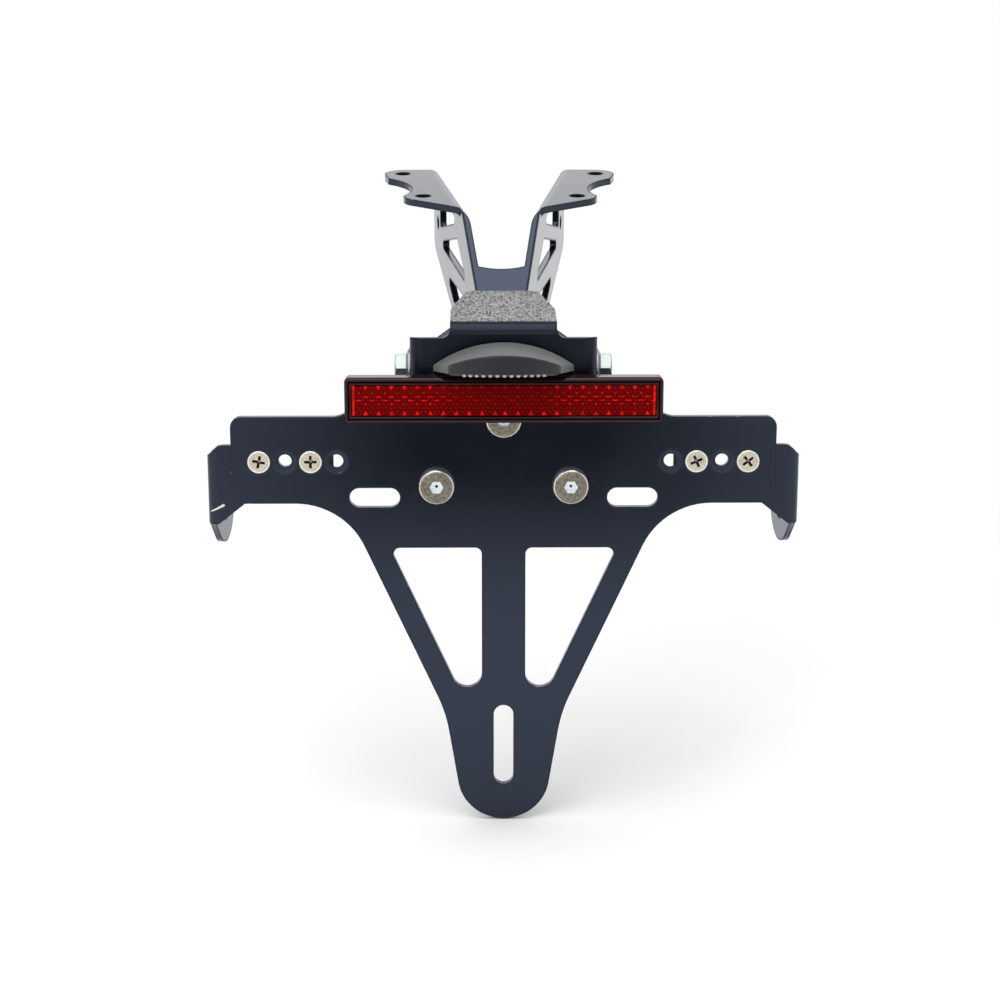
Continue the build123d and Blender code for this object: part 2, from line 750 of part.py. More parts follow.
with BuildPart() as reflector_nuts:
    with BuildSketch(Plane.XZ.offset(-carrier_t - m5_washer_t)):
        with Locations(*reflector_stud_places):
            RegularPolygon(m5_nut_flats / 2, 6, major_radius=False)
            Circle(reflector_stud_r + thread_play, mode=Mode.SUBTRACT)
    extrude(amount=-m5_nut_h)
reflector_nuts.part.label = "reflector_nuts"

# Number-plate lamp: a half-moon canopy, arched across and cut sloping underneath
under_rise = atan2(lamp_front_low_z - lamp_back_low_z, lamp_reach)
lamp_under = Plane(
    origin=(0, 0, lamp_back_low_z), x_dir=(1, 0, 0), z_dir=(0, -sin(under_rise), -cos(under_rise))
)
lamp_recess = lamp_lens_t - lamp_lens_proud
board_roof = lamp_recess + board_play + led_h + board_t
board_place = (0, (lamp_lens_back_y + lamp_reach - lamp_rim) / 2)
lens_side_x = lamp_back_half_width - lamp_rim - (lamp_back_half_width - lamp_corner_x) * lamp_lens_back_y / -lamp_corner_y
lens_corner = (lamp_corner_x - lamp_rim, -lamp_corner_y - lamp_rim / 2)
lens_front_y = lamp_reach - lamp_rim
with BuildPart() as lamp_housing:
    with BuildSketch(Plane.XY.offset(lamp_back_low_z)):
        with BuildLine():
            Polyline(
                (-lamp_corner_x, lamp_corner_y),
                (-lamp_back_half_width, 0),
                (lamp_back_half_width, 0),
                (lamp_corner_x, lamp_corner_y),
            )
            ThreePointArc((-lamp_corner_x, lamp_corner_y), (0, -lamp_reach), (lamp_corner_x, lamp_corner_y))
        make_face()
    extrude(amount=lamp_crown_z - lamp_back_low_z)
    fillet(lamp_housing.edges().filter_by(Axis.Z).sort_by(Axis.Y)[:2], lamp_corner_r)
    with BuildSketch(Plane.XZ):
        with BuildLine():
            ThreePointArc((-lamp_back_half_width, lamp_side_z), (0, lamp_crown_z), (lamp_back_half_width, lamp_side_z))
            Polyline(
                (lamp_back_half_width, lamp_side_z),
                (lamp_back_half_width, lamp_back_low_z),
                (-lamp_back_half_width, lamp_back_low_z),
                (-lamp_back_half_width, lamp_side_z),
            )
        make_face()
    extrude(amount=lamp_reach, mode=Mode.INTERSECT)
    with BuildSketch(lamp_under):
        with Locations((0, lamp_reach)):
            Rectangle(4 * lamp_back_half_width, 4 * lamp_reach)
    extrude(amount=lamp_crown_z - lamp_back_low_z, mode=Mode.SUBTRACT)
    canopy_top = lamp_housing.faces().filter_by(GeomType.CYLINDER).sort_by(Axis.Z)[-1]
    canopy_edges = canopy_top.edges().sort_by(Axis.Y)[:-1]
    fillet(canopy_edges, lamp_edge_r)
    with BuildSketch(lamp_under):
        with BuildLine():
            Polyline(
                (-lens_corner[0], lens_corner[1]),
                (-lens_side_x, lamp_lens_back_y),
                (lens_side_x, lamp_lens_back_y),
                lens_corner,
            )
            ThreePointArc((-lens_corner[0], lens_corner[1]), (0, lens_front_y), lens_corner)
        make_face()
    extrude(amount=-lamp_recess, mode=Mode.SUBTRACT)
    with BuildSketch(lamp_under):
        with Locations(board_place):
            Rectangle(board_length + 2 * board_play, board_width + 2 * board_play)
    extrude(amount=-board_roof, mode=Mode.SUBTRACT)
    with BuildSketch(Plane.XZ):
        with Locations(*lamp_screw_places):
            Circle(lamp_screw_r + thread_play)
    extrude(amount=lamp_screw_hold, mode=Mode.SUBTRACT)
    with BuildSketch(Plane.XZ):
        with Locations((0, lamp_screw_z)):
            Circle(lamp_cable_r)
    extrude(amount=lamp_cable_depth, mode=Mode.SUBTRACT)
lamp_housing.part.label = "lamp_housing"

with BuildPart() as lamp_lens:
    with BuildSketch(lamp_under.offset(-lamp_recess)):
        with BuildLine():
            Polyline(
                (-lens_corner[0], lens_corner[1]),
                (-lens_side_x, lamp_lens_back_y),
                (lens_side_x, lamp_lens_back_y),
                lens_corner,
            )
            ThreePointArc((-lens_corner[0], lens_corner[1]), (0, lens_front_y), lens_corner)
        make_face()
        offset(amount=-seat_play, mode=Mode.REPLACE)
    extrude(amount=lamp_lens_t)
lamp_lens.part.label = "lamp_lens"

with BuildPart() as lamp_board:
    with BuildSketch(lamp_under.offset(-board_roof)):
        with Locations(board_place):
            Rectangle(board_length, board_width)
    extrude(amount=board_t)
lamp_board.part.label = "lamp_board"

with BuildPart() as lamp_leds:
    with BuildSketch(lamp_under.offset(board_t - board_roof)):
        with Locations(board_place):
            with GridLocations(led_pitch, 0, 3, 1):
                Rectangle(led_size, led_size)
    extrude(amount=led_h)
lamp_leds.part.label = "lamp_leds"

with BuildPart() as lamp_screws:
    with BuildSketch(Plane.XZ.offset(-hinge_back_y)):
        with Locations(*lamp_screw_places):
            Circle(lamp_screw_head_r)
    extrude(amount=-lamp_screw_head_h)
    with BuildSketch(Plane.XZ.offset(-hinge_back_y)):
        with Locations(*lamp_screw_places):
            Circle(lamp_screw_r)
    extrude(amount=hinge_back_y + lamp_screw_hold)
lamp_screws.part.label = "lamp_screws"

pieces = [
    main_bracket,
    hinge_bracket,
    plate_carrier,
    left_indicator_bracket,
    right_indicator_bracket,
    indicator_screws,
    indicator_washers,
    indicator_nuts,
    carrier_screws,
    carrier_washers,
    carrier_nuts,
    pivot_bolts,
    pivot_washers,
    pivot_nuts,
    reflector_housing,
    reflector_lens,
    reflector_studs,
    reflector_spacers,
    reflector_washers,
    reflector_nuts,
    lamp_housing,
    lamp_lens,
    lamp_board,
    lamp_leds,
    lamp_screws,
]
os.makedirs("parts", exist_ok=True)
for piece in pieces:
    export_step(piece.part, f"parts/{piece.part.label}.step")
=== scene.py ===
"""Motorbike tail tidy: finishes, shaped pieces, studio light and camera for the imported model."""

import logging
import math
from collections.abc import Callable
from dataclasses import dataclass
from enum import Enum

import bpy
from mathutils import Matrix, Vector


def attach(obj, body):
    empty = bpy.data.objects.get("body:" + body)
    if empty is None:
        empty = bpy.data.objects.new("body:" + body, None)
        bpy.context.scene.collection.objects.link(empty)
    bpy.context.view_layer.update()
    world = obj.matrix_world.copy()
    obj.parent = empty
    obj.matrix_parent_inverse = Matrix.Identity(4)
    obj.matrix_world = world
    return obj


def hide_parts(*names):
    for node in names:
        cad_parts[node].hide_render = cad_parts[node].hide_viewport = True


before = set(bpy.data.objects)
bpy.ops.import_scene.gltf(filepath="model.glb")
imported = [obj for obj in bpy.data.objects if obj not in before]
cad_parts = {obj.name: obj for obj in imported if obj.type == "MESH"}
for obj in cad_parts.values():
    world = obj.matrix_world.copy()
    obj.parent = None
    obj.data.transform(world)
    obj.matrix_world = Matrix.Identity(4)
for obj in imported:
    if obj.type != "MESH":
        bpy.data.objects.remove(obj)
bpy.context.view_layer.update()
LOG = logging.getLogger("tail_tidy")
MM = 0.001
FAR = 1.0
Socket = bpy.types.NodeSocket
Number = float | Socket
Value = float | str | tuple[float, ...] | Socket
Pair = tuple[float, float]
Point = tuple[float, float, float]
Places = tuple[Pair, ...]
Piece = bpy.types.Object
Material = bpy.types.Material
Tree = bpy.types.NodeTree


class Body(Enum):
    """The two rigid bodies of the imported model."""

    TAIL_BRACKET = "tail_bracket"
    PLATE_HEAD = "plate_head"


class Pick(Enum):
    """What a selection in edit mode takes."""

    EDGE = "EDGE"
    FACE = "FACE"


class Join(Enum):
    """How one piece is combined with another."""

    UNION = "UNION"
    INTERSECT = "INTERSECT"


class Axis(Enum):
    """The model's axes."""

    X = "X"
    Y = "Y"
    Z = "Z"


class Mark(Enum):
    """Shapes of the painted glints of the prisms in the reflector."""

    POINT_DOWN = "point_down"
    POINT_UP = "point_up"
    DOT = "dot"
    DASH = "dash"


def linear(colour: str) -> tuple[float, float, float, float]:
    """Turn an sRGB hex colour into linear light.

    Args:
        colour: Six hex digits with a leading hash.

    Returns:
        Linear red, green, blue and an alpha of one.
    """
    parts = [int(colour[i : i + 2], 16) / 255 for i in (1, 3, 5)]
    light = [c / 12.92 if c <= 0.04045 else ((c + 0.055) / 1.055) ** 2.4 for c in parts]
    return (light[0], light[1], light[2], 1.0)


def feed(tree: Tree, socket: Socket, value: Value) -> None:
    """Give an input socket a link, a colour or a plain value.

    Args:
        tree: The node tree that holds the socket.
        socket: The input.
        value: An output socket, a hex colour, a number or a vector.
    """
    if isinstance(value, Socket):
        tree.links.new(value, socket)
    else:
        socket.default_value = linear(value) if isinstance(value, str) else value


def add_node(
    tree: Tree, kind: str, inputs: dict[str | int, Value] | None = None, **settings: object
) -> bpy.types.Node:
    """Add one shader node with its settings, input values and links.

    Args:
        tree: The node tree that gets the node.
        kind: The node's type name after ShaderNode.
        inputs: Input name or index to a value, or to an output socket that is linked to it.
        **settings: Attributes of the node.

    Returns:
        The new node.
    """
    node = tree.nodes.new("ShaderNode" + kind)
    for name, value in settings.items():
        setattr(node, name, value)
    for key, value in (inputs or {}).items():
        feed(tree, node.inputs[key], value)
    return node


def per_mm(size_mm: float) -> float:
    """Texture scale whose features are about this many millimetres across."""
    return 1.0 / (size_mm * MM)


@dataclass(frozen=True)
class Graph:
    """A node tree with short calls for the nodes that the looks use.

    It holds the coordinates, and the Principled shader where there is one.
    """

    tree: Tree
    place: Socket
    shader: bpy.types.Node | None = None

    def put(self, values: dict[str, Value]) -> None:
        """Give sockets of the shader their values or links."""
        for name, value in values.items():
            feed(self.tree, self.shader.inputs[name], value)

    def calc(self, way: str, *values: Number, clamp: bool = False) -> Socket:
        """Work out a number from others."""
        return add_node(self.tree, "Math", dict(enumerate(values)), operation=way, use_clamp=clamp).outputs[0]

    def vector(self, way: str, *values: Value) -> Socket:
        """Work out a vector from others."""
        return add_node(self.tree, "VectorMath", dict(enumerate(values)), operation=way).outputs["Vector"]

    def measure(self, way: str, *values: Value) -> Socket:
        """Work out a number from vectors."""
        return add_node(self.tree, "VectorMath", dict(enumerate(values)), operation=way).outputs["Value"]

    def scale(self, vector: Value, factor: Number) -> Socket:
        """Scale a vector."""
        return add_node(self.tree, "VectorMath", {0: vector, "Scale": factor}, operation="SCALE").outputs["Vector"]

    def along(self, axis: Axis, vector: Socket | None = None) -> Socket:
        """Take one part of a vector, or of the coordinates if none is given."""
        return add_node(self.tree, "SeparateXYZ", {0: vector or self.place}).outputs[axis.value]

    def ramp(
        self, value: Socket, low: float, high: float, to_low: float = 0.0, to_high: float = 1.0, **settings: object
    ) -> Socket:
        """Map a number from one range to another and hold it there."""
        ends = {"Value": value, "From Min": low, "From Max": high, "To Min": to_low, "To Max": to_high}
        return add_node(self.tree, "MapRange", ends, **settings).outputs[0]

    def mix(self, share: Number, first: Value, second: Value, kind: str = "RGBA", **settings: object) -> Socket:
        """Mix two colours or two numbers."""
        sides = {"Factor": share, "A": first, "B": second}
        return add_node(self.tree, "Mix", sides, data_type=kind, **settings).outputs["Result"]

    def noise(self, size_mm: float, detail: float, vector: Socket | None = None, distortion: float = 0.0) -> Socket:
        """Lay cloudy noise with features of a real size."""
        inputs = {"Vector": vector or self.place, "Scale": per_mm(size_mm), "Detail": detail, "Distortion": distortion}
        return add_node(self.tree, "TexNoise", inputs).outputs["Fac"]

    def bevel(self, radius_mm: float, samples: int) -> Socket:
        """Round the edges in the shading."""
        return add_node(self.tree, "Bevel", {"Radius": radius_mm * MM}, samples=samples).outputs[0]

    def bump(self, height: Socket, strength: float, depth_mm: float, normal: Socket | None = None) -> Socket:
        """Lay a height on the surface.

        Args:
            height: The height, in shares of the depth.
            strength: How strongly it shows.
            depth_mm: The depth of a height of one.
            normal: The surface so far, if it isn't plain.

        Returns:
            The new normal.
        """
        inputs = {"Height": height, "Strength": strength, "Distance": depth_mm * MM}
        if normal:
            inputs["Normal"] = normal
        return add_node(self.tree, "Bump", inputs).outputs[0]

    def nearest(self, axes_mm: Places) -> Socket:
        """Distance from the nearest of some axes along Y, which lie alike on the left and the right.

        Args:
            axes_mm: Where each axis lies in X and Z.

        Returns:
            The distance in metres.
        """
        aside = self.calc("ABSOLUTE", self.along(Axis.X))
        flat = add_node(self.tree, "CombineXYZ", {"X": aside, "Z": self.along(Axis.Z)}).outputs[0]
        radius: Number = FAR
        for x, z in axes_mm:
            radius = self.calc("MINIMUM", radius, self.measure("DISTANCE", flat, (x * MM, 0.0, z * MM)))
        return radius


def pick(piece: Piece, kind: Pick, test: Callable[[Vector, Vector], bool]) -> None:
    """Select the faces or edges of a piece that pass a test, and stay in edit mode.

    Args:
        piece: The active mesh object.
        kind: Whether faces or edges are tested.
        test: Takes a face's centre and normal, or an edge's two ends, in millimetres.
    """
    bpy.ops.object.mode_set(mode="EDIT")
    bpy.ops.mesh.select_mode(type=kind.value)
    bpy.ops.mesh.select_all(action="DESELECT")
    bpy.ops.object.mode_set(mode="OBJECT")
    mesh = piece.data
    if kind is Pick.FACE:
        for face in mesh.polygons:
            face.select = test(face.center / MM, face.normal)
    else:
        for edge in mesh.edges:
            one, other = (mesh.vertices[i].co / MM for i in edge.vertices)
            edge.select = test(one, other)
    bpy.ops.object.mode_set(mode="EDIT")


def pick_ends(piece: Piece, test: Callable[[Vector], bool]) -> None:
    """Select the edges whose two ends both pass a test, in millimetres."""
    pick(piece, Pick.EDGE, lambda one, other: test(one) and test(other))


def bevel_picked(size_mm: float, segments: int) -> None:
    """Bevel the selected edges."""
    bpy.ops.mesh.bevel(offset=size_mm * MM, segments=segments, affect="EDGES")


def turn_picked(axis: Axis, turn_deg: float, centre_mm: Point) -> None:
    """Turn the selection about an axis through a point."""
    centre = [part * MM for part in centre_mm]
    bpy.ops.transform.rotate(value=math.radians(turn_deg), orient_axis=axis.value, center_override=centre)


def duplicate(piece: Piece) -> Piece:
    """Copy a piece with a mesh of its own.

    Args:
        piece: The piece.

    Returns:
        The copy.
    """
    twin = piece.copy()
    twin.data = piece.data.copy()
    bpy.context.collection.objects.link(twin)
    return twin


def merged_copy(node: str) -> Piece:
    """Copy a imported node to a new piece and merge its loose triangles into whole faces.

    Args:
        node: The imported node's name.

    Returns:
        The copy, active and in edit mode.
    """
    bpy.ops.object.select_all(action="DESELECT")
    piece = bpy.data.objects.new(node + "_copy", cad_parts[node].data.copy())
    bpy.context.collection.objects.link(piece)
    piece.select_set(True)
    bpy.context.view_layer.objects.active = piece
    bpy.ops.object.mode_set(mode="EDIT")
    bpy.ops.mesh.select_all(action="SELECT")
    bpy.ops.mesh.remove_doubles(threshold=0.002 * MM)
    bpy.ops.mesh.dissolve_limited(angle_limit=math.radians(0.3))
    return piece


def hand_over(
    piece: Piece, name: str, material: Material, body: Body, smooth_deg: float = 40.0
) -> None:
    """Finish a new piece: its place applied, its normals, shading, material and body.

    Args:
        piece: The active mesh object.
        name: The piece's name.
        material: Its finish.
        body: The body that it moves with.
        smooth_deg: Edges flatter than this are shaded smooth.
    """
    bpy.ops.object.mode_set(mode="OBJECT")
    bpy.ops.object.transform_apply(location=True, rotation=True, scale=True)
    bpy.ops.object.mode_set(mode="EDIT")
    bpy.ops.mesh.select_all(action="SELECT")
    bpy.ops.mesh.remove_doubles(threshold=0.0005 * MM)
    bpy.ops.mesh.normals_make_consistent(inside=False)
    bpy.ops.object.mode_set(mode="OBJECT")
    bpy.ops.object.shade_smooth_by_angle(angle=math.radians(smooth_deg))
    bpy.ops.object.modifier_add(type="WEIGHTED_NORMAL")
    even = piece.modifiers[-1]
    even.keep_sharp = True
    bpy.ops.object.modifier_apply(modifier=even.name)
    piece.name = name
    piece.data.materials.clear()
    piece.data.materials.append(material)
    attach(piece, body.value)
    LOG.info("built %s, %d faces, in %s", name, len(piece.data.polygons), material.name)


def dress_node(node: str, material: Material) -> None:
    """Put one material on a CAD node.

    Args:
        node: The node's name.
        material: Its finish.
    """
    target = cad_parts[node]
    target.data.materials.clear()
    target.data.materials.append(material)
    LOG.info("dressed %s in %s", node, material.name)


@dataclass(frozen=True)
class Finish:
    """A named surface finish that makes its own material."""

    name: str

    def build(self) -> Material:
        """Make the material.

        Returns:
            The material with its node tree.
        """
        material = bpy.data.materials.new(self.name)
        material.use_nodes = True
        tree = material.node_tree
        tree.nodes.clear()
        shader = add_node(tree, "BsdfPrincipled")
        add_node(tree, "OutputMaterial", {"Surface": shader.outputs[0]})
        self.lay(Graph(tree, add_node(tree, "TexCoord").outputs["Object"], shader))
        return material

    def lay(self, graph: Graph) -> None:
        """Lay the finish on the shader."""
        raise NotImplementedError


@dataclass(frozen=True)
class PowderCoat(Finish):
    """Satin black powder coat on laser-cut steel.

    Near black face on and pale at a low angle, with a fine orange peel, dull cut edges and bright chips on them.
    """

    colour: str = "#07080b"
    glint: str = "#c2d3fa"
    ior: float = 1.66
    roughness: float = 0.14
    roughness_spread: float = 0.05
    cloud_mm: float = 25.0
    # The peel is drawn coarser than a real coat's, which would be lost at the picture's size
    grain_mm: float = 0.6
    grain_depth: float = 0.05
    chip: str = "#c9c9c4"
    chip_mm: float = 2.6
    chip_limit: float = 0.635
    chip_fade: float = 0.02
    edge_mm: float = 0.35
    edge_turn: Pair = (0.99, 0.86)
    rim_mm: float = 1.5
    rim_turn: Pair = (0.96, 0.86)
    rim_roughness: float = 1.0
    rim_colour: str = "#1a1d25"
    sinks_mm: Places = ()
    sink_r_mm: float = 3.9
    sink_fade_mm: float = 0.2
    # Painted reflection: the countersinks' cones get a lighter grey than the coat
    sink_painted_light: str = "#2f343f"
    # Wrinkles are drawn longer to the rear than real ones, because the top is seen at a low angle
    wrinkle_mm: float = 0.0
    wrinkle_stretch: float = 3.6
    wrinkle_depth_mm: float = 0.8
    wrinkle_from_z_mm: float = 58.0
    wrinkle_fade_mm: float = 0.4
    # Grey painted on the wrinkles' crests: a painted highlight that stands for their glints at a low angle
    painted_crest_highlight: str = "#82827f"
    crest_range: Pair = (0.26, 0.64)
    crest_sheen_roughness: float = 0.4
    valley_roughness: float = 0.9
    scrape_mm: Places = ()
    scrape_half_mm: float = 0.45
    scrape_taper: Pair = (0.5, 1.2)
    scrape_fade_mm: float = 0.06
    scrape_facing: float = 0.2

    def lay(self, graph: Graph) -> None:
        """Lay the coat, its chips, its dull cut edges and its grain.

        Args:
            graph: The material's nodes.
        """
        face = add_node(graph.tree, "NewGeometry").outputs["True Normal"]
        rounded = graph.bevel(self.edge_mm, samples=6)
        edge = graph.ramp(graph.measure("DOT_PRODUCT", rounded, face), *self.edge_turn)
        chipped = graph.ramp(graph.noise(self.chip_mm, detail=5.0), self.chip_limit, self.chip_limit + self.chip_fade)
        worn = graph.calc("MULTIPLY", edge, chipped, clamp=True)
        if self.scrape_mm:
            worn = graph.calc("MAXIMUM", worn, self.lay_scrape(graph, face))
        rim = graph.ramp(graph.measure("DOT_PRODUCT", graph.bevel(self.rim_mm, samples=4), face), *self.rim_turn)
        coat = graph.mix(rim, self.colour, self.rim_colour)
        if self.sinks_mm:
            inner_mm = self.sink_r_mm - self.sink_fade_mm
            sunk = graph.ramp(graph.nearest(self.sinks_mm), self.sink_r_mm * MM, inner_mm * MM)
            rim = graph.calc("MAXIMUM", rim, sunk)
            # Painted reflection: a lighter grey in the countersinks' cones
            coat = graph.mix(sunk, coat, self.sink_painted_light)
        colour = graph.mix(worn, coat, self.chip)
        glossy, matt = self.roughness - self.roughness_spread, self.roughness + self.roughness_spread
        gloss = graph.ramp(graph.noise(self.cloud_mm, detail=3.0), 0.0, 1.0, glossy, matt)
        dull = graph.mix(rim, gloss, self.rim_roughness, "FLOAT")
        grain = graph.noise(self.grain_mm, detail=2.0)
        normal = graph.bump(grain, strength=self.grain_depth, depth_mm=0.1, normal=rounded)
        if self.wrinkle_mm:
            normal, crests, valleys = self.lay_wrinkles(graph, normal)
            # Painted highlight: the crests are painted grey
            colour = graph.mix(crests, colour, self.painted_crest_highlight)
            dull = graph.mix(valleys, dull, self.valley_roughness, "FLOAT")
            graph.put({"Sheen Weight": crests, "Sheen Roughness": self.crest_sheen_roughness})
        graph.put({"Base Color": colour, "Roughness": dull, "Normal": normal})
        graph.put({"Specular Tint": self.glint, "IOR": self.ior})

    def lay_scrape(self, graph: Graph, face: Socket) -> Socket:
        """Lay one short tapered scrape through the coat on the sheet's front.

        Args:
            graph: The material's nodes.
            face: The face's normal.

        Returns:
            One on the scrape and nought elsewhere.
        """
        (x0, z0), (x1, z1) = self.scrape_mm
        length = math.hypot(x1 - x0, z1 - z0)
        half = length / 2 * MM
        along = ((x1 - x0) / length, 0.0, (z1 - z0) / length)
        middle = ((x0 + x1) / 2 * MM, 0.0, (z0 + z1) / 2 * MM)
        moved = graph.vector("SUBTRACT", graph.place, middle)
        run = graph.measure("DOT_PRODUCT", moved, along)
        foot = graph.scale(along, graph.ramp(run, -half, half, -half, half))
        apart = graph.measure("DISTANCE", graph.vector("MULTIPLY", moved, (1.0, 0.0, 1.0)), foot)
        narrow, wide = (self.scrape_half_mm * share * MM for share in self.scrape_taper)
        over = graph.calc("SUBTRACT", apart, graph.ramp(run, -half, half, narrow, wide))
        inside = graph.ramp(over, self.scrape_fade_mm * MM, -self.scrape_fade_mm * MM)
        front = graph.measure("DOT_PRODUCT", face, (0.0, -1.0, 0.0))
        return graph.calc("MULTIPLY", inside, graph.calc("GREATER_THAN", front, self.scrape_facing))

    def lay_wrinkles(self, graph: Graph, normal: Socket) -> tuple[Socket, Socket, Socket]:
        """Lay coarse wrinkles above a height.

        Args:
            graph: The material's nodes.
            normal: The surface so far.

        Returns:
            The normal with the wrinkles on it, and the shares of their crests and valleys.
        """
        low, high = self.wrinkle_from_z_mm * MM, (self.wrinkle_from_z_mm + self.wrinkle_fade_mm) * MM
        top = graph.ramp(graph.along(Axis.Z), low, high)
        drawn = graph.vector("MULTIPLY", graph.place, (1.0, 1.0 / self.wrinkle_stretch, 1.0))
        rough = graph.noise(self.wrinkle_mm, detail=2.0, vector=drawn, distortion=0.8)
        height = graph.calc("MULTIPLY", top, rough)
        crests = graph.ramp(height, *self.crest_range)
        valleys = graph.calc("SUBTRACT", top, crests, clamp=True)
        return graph.bump(height, strength=1.0, depth_mm=self.wrinkle_depth_mm, normal=normal), crests, valleys


@dataclass(frozen=True)
class PlatedSteel(Finish):
    """Plated steel fastener: bright metal with faint mottling, and thread ridges along its shank.

    A head that is seen from its end has turned rings, a painted highlight on its rim, and painted shade in its recess,
    with a painted reflection in a bright socket.
    """

    colour: str = "#c2c9c8"
    shade: str = "#848d8c"
    roughness: float = 0.38
    roughness_spread: float = 0.08
    mottle_mm: float = 3.0
    mottle_range: Pair = (0.3, 0.7)
    edge_mm: float = 0.25
    thread_mm: float = 0.0
    thread_axis: Axis = Axis.Y
    thread_zone_mm: Pair = (3.0, 99.0)
    heads_mm: Places = ()
    head_r_mm: float = 3.75
    # Painted highlight: a bright ring along each head's rim
    rim: str = "#f1efe6"
    rim_in_mm: Pair = (0.6, 0.35)
    # Turned rings are drawn coarser than real tool marks, which would be lost at the picture's size
    ring_mm: float = 0.8
    # Painted reflection: bright white-blue inside a hex socket
    socket: str = "#e8f1f6"
    socket_r_mm: float = 0.0
    socket_from_y_mm: float = 0.0
    pit_r_mm: float = 0.5
    pit_from_y_mm: float = -1.4
    cross_r_mm: float = 0.0
    cross_from_y_mm: float = 0.2
    # The cross's middle is painted lighter than the painted shade round it
    cross_floor: str = "#8a8479"
    # Painted shade in a cross and in a socket's pit
    painted_recess_shade: str = "#221e1a"
    recess_deep_mm: float = 2.6

    def lay(self, graph: Graph) -> None:
        """Lay the plating, the turned heads and the thread.

        Args:
            graph: The material's nodes.
        """
        mottle = graph.noise(self.mottle_mm, detail=6.0)
        colour = graph.mix(mottle, self.shade, self.colour)
        normal = graph.bevel(self.edge_mm, samples=4)
        if self.heads_mm:
            colour, normal = self.turn_heads(graph, colour, normal)
        if self.thread_mm:
            normal = self.cut_thread(graph, normal)
        glossy, matt = self.roughness - self.roughness_spread, self.roughness + self.roughness_spread
        gloss = graph.ramp(mottle, *self.mottle_range, glossy, matt)
        graph.put({"Base Color": colour, "Metallic": 1.0, "Roughness": gloss, "Normal": normal})

    def cut_thread(self, graph: Graph, normal: Socket) -> Socket:
        """Cut the thread's ridges into the shank.

        Args:
            graph: The material's nodes.
            normal: The surface so far.

        Returns:
            The normal with the thread on it.
        """
        # At a scale of one the wave repeats every pi / 10
        inputs = {"Vector": graph.place, "Scale": math.pi / 10 * per_mm(self.thread_mm)}
        ridges = add_node(graph.tree, "TexWave", inputs, bands_direction=self.thread_axis.value)
        out = graph.calc("ABSOLUTE", graph.along(self.thread_axis))
        low, high = (edge * MM for edge in self.thread_zone_mm)
        zone = graph.calc("MULTIPLY", graph.calc("GREATER_THAN", out, low), graph.calc("LESS_THAN", out, high))
        cut = graph.calc("MULTIPLY", ridges.outputs["Fac"], zone)
        return graph.bump(cut, strength=0.6, depth_mm=0.3, normal=normal)

    def turn_heads(self, graph: Graph, colour: Socket, normal: Socket) -> tuple[Socket, Socket]:
        """Turn rings into the heads, paint a highlight on their rim, and paint shade and reflections into their
        recesses.

        Args:
            graph: The material's nodes.
            colour: The plating's colour.
            normal: The surface so far.

        Returns:
            The colour and the normal with the turned marks.
        """
        radius = graph.nearest(self.heads_mm)
        # Painted highlight on the head's rim
        rim = graph.ramp(radius, *((self.head_r_mm - inset) * MM for inset in self.rim_in_mm))
        colour = graph.mix(rim, colour, self.rim)
        # A painted reflection in a socket, and painted shade in its pit and in a cross
        recesses = (
            (self.socket_r_mm, (self.socket_r_mm, self.socket_from_y_mm, self.socket)),
            (self.socket_r_mm, (self.pit_r_mm, self.pit_from_y_mm, self.painted_recess_shade)),
            (self.cross_r_mm, (self.cross_r_mm, self.cross_from_y_mm, self.painted_recess_shade)),
            (self.cross_r_mm, (self.pit_r_mm, self.cross_from_y_mm, self.cross_floor)),
        )
        for wanted, recess in recesses:
            if wanted:
                colour = self.tint_recess(graph, radius, colour, *recess)
        rings = graph.calc("SINE", graph.calc("MULTIPLY", radius, 2 * math.pi * per_mm(self.ring_mm)))
        return colour, graph.bump(rings, strength=0.25, depth_mm=0.05, normal=normal)

    def tint_recess(
        self, graph: Graph, radius: Socket, colour: Socket, reach_mm: float, from_y_mm: float, tint: str
    ) -> Socket:
        """Paint a colour into the inside of a driver's recess, which is painted shade in a cross and a pit and a
        painted reflection in a socket, and leave the shank's end plain.

        Args:
            graph: The material's nodes.
            radius: Distance from the nearest head's middle.
            colour: The plating's colour.
            reach_mm: Radius round the recess.
            from_y_mm: Depth at which the recess starts.
            tint: The colour inside.

        Returns:
            The colour with the recess tinted.
        """
        half = self.recess_deep_mm / 2
        under = graph.calc("COMPARE", graph.along(Axis.Y), (from_y_mm + half) * MM, half * MM)
        inside = graph.calc("LESS_THAN", radius, reach_mm * MM)
        return graph.mix(graph.calc("MULTIPLY", inside, under), colour, tint)


@dataclass(frozen=True)
class MouldedPlastic(Finish):
    """Injection-moulded plastic with a fine spark-eroded grain and a faintly cloudy colour."""

    colour: str = "#0d0e11"
    roughness: float = 0.38
    # The grain is drawn coarser than a real mould's, which would be lost at the picture's size
    grain_mm: float = 0.3
    grain_depth: float = 0.04
    glint: str = "#ffffff"
    sheen: float = 0.0
    ior: float = 1.5
    cloud_mm: float = 8.0
    cloud_range: Pair = (0.75, 1.25)
    edge_mm: float = 0.3

    def lay(self, graph: Graph) -> None:
        """Lay the plastic and its grain.

        Args:
            graph: The material's nodes.
        """
        tint = graph.ramp(graph.noise(self.cloud_mm, detail=3.0), 0.0, 1.0, *self.cloud_range)
        colour = graph.mix(1.0, self.colour, tint, blend_type="MULTIPLY")
        grain, rounded = graph.noise(self.grain_mm, detail=2.0), graph.bevel(self.edge_mm, samples=4)
        skin = graph.bump(grain, strength=self.grain_depth, depth_mm=0.1, normal=rounded)
        graph.put({"Base Color": colour, "Normal": skin, "Roughness": self.roughness})
        graph.put({"Specular Tint": self.glint, "Sheen Weight": self.sheen, "IOR": self.ior})


@dataclass(frozen=True)
class MarkRow:
    """One row of prisms with painted glints: its shape, depth under the field's top, half sizes and shift in pitches.

    A row that isn't lit all along fades out over the middle.
    """

    shape: Mark
    depth_mm: float
    half_width_mm: float
    half_height_mm: float
    shift: float = 0.0
    all_along: bool = False


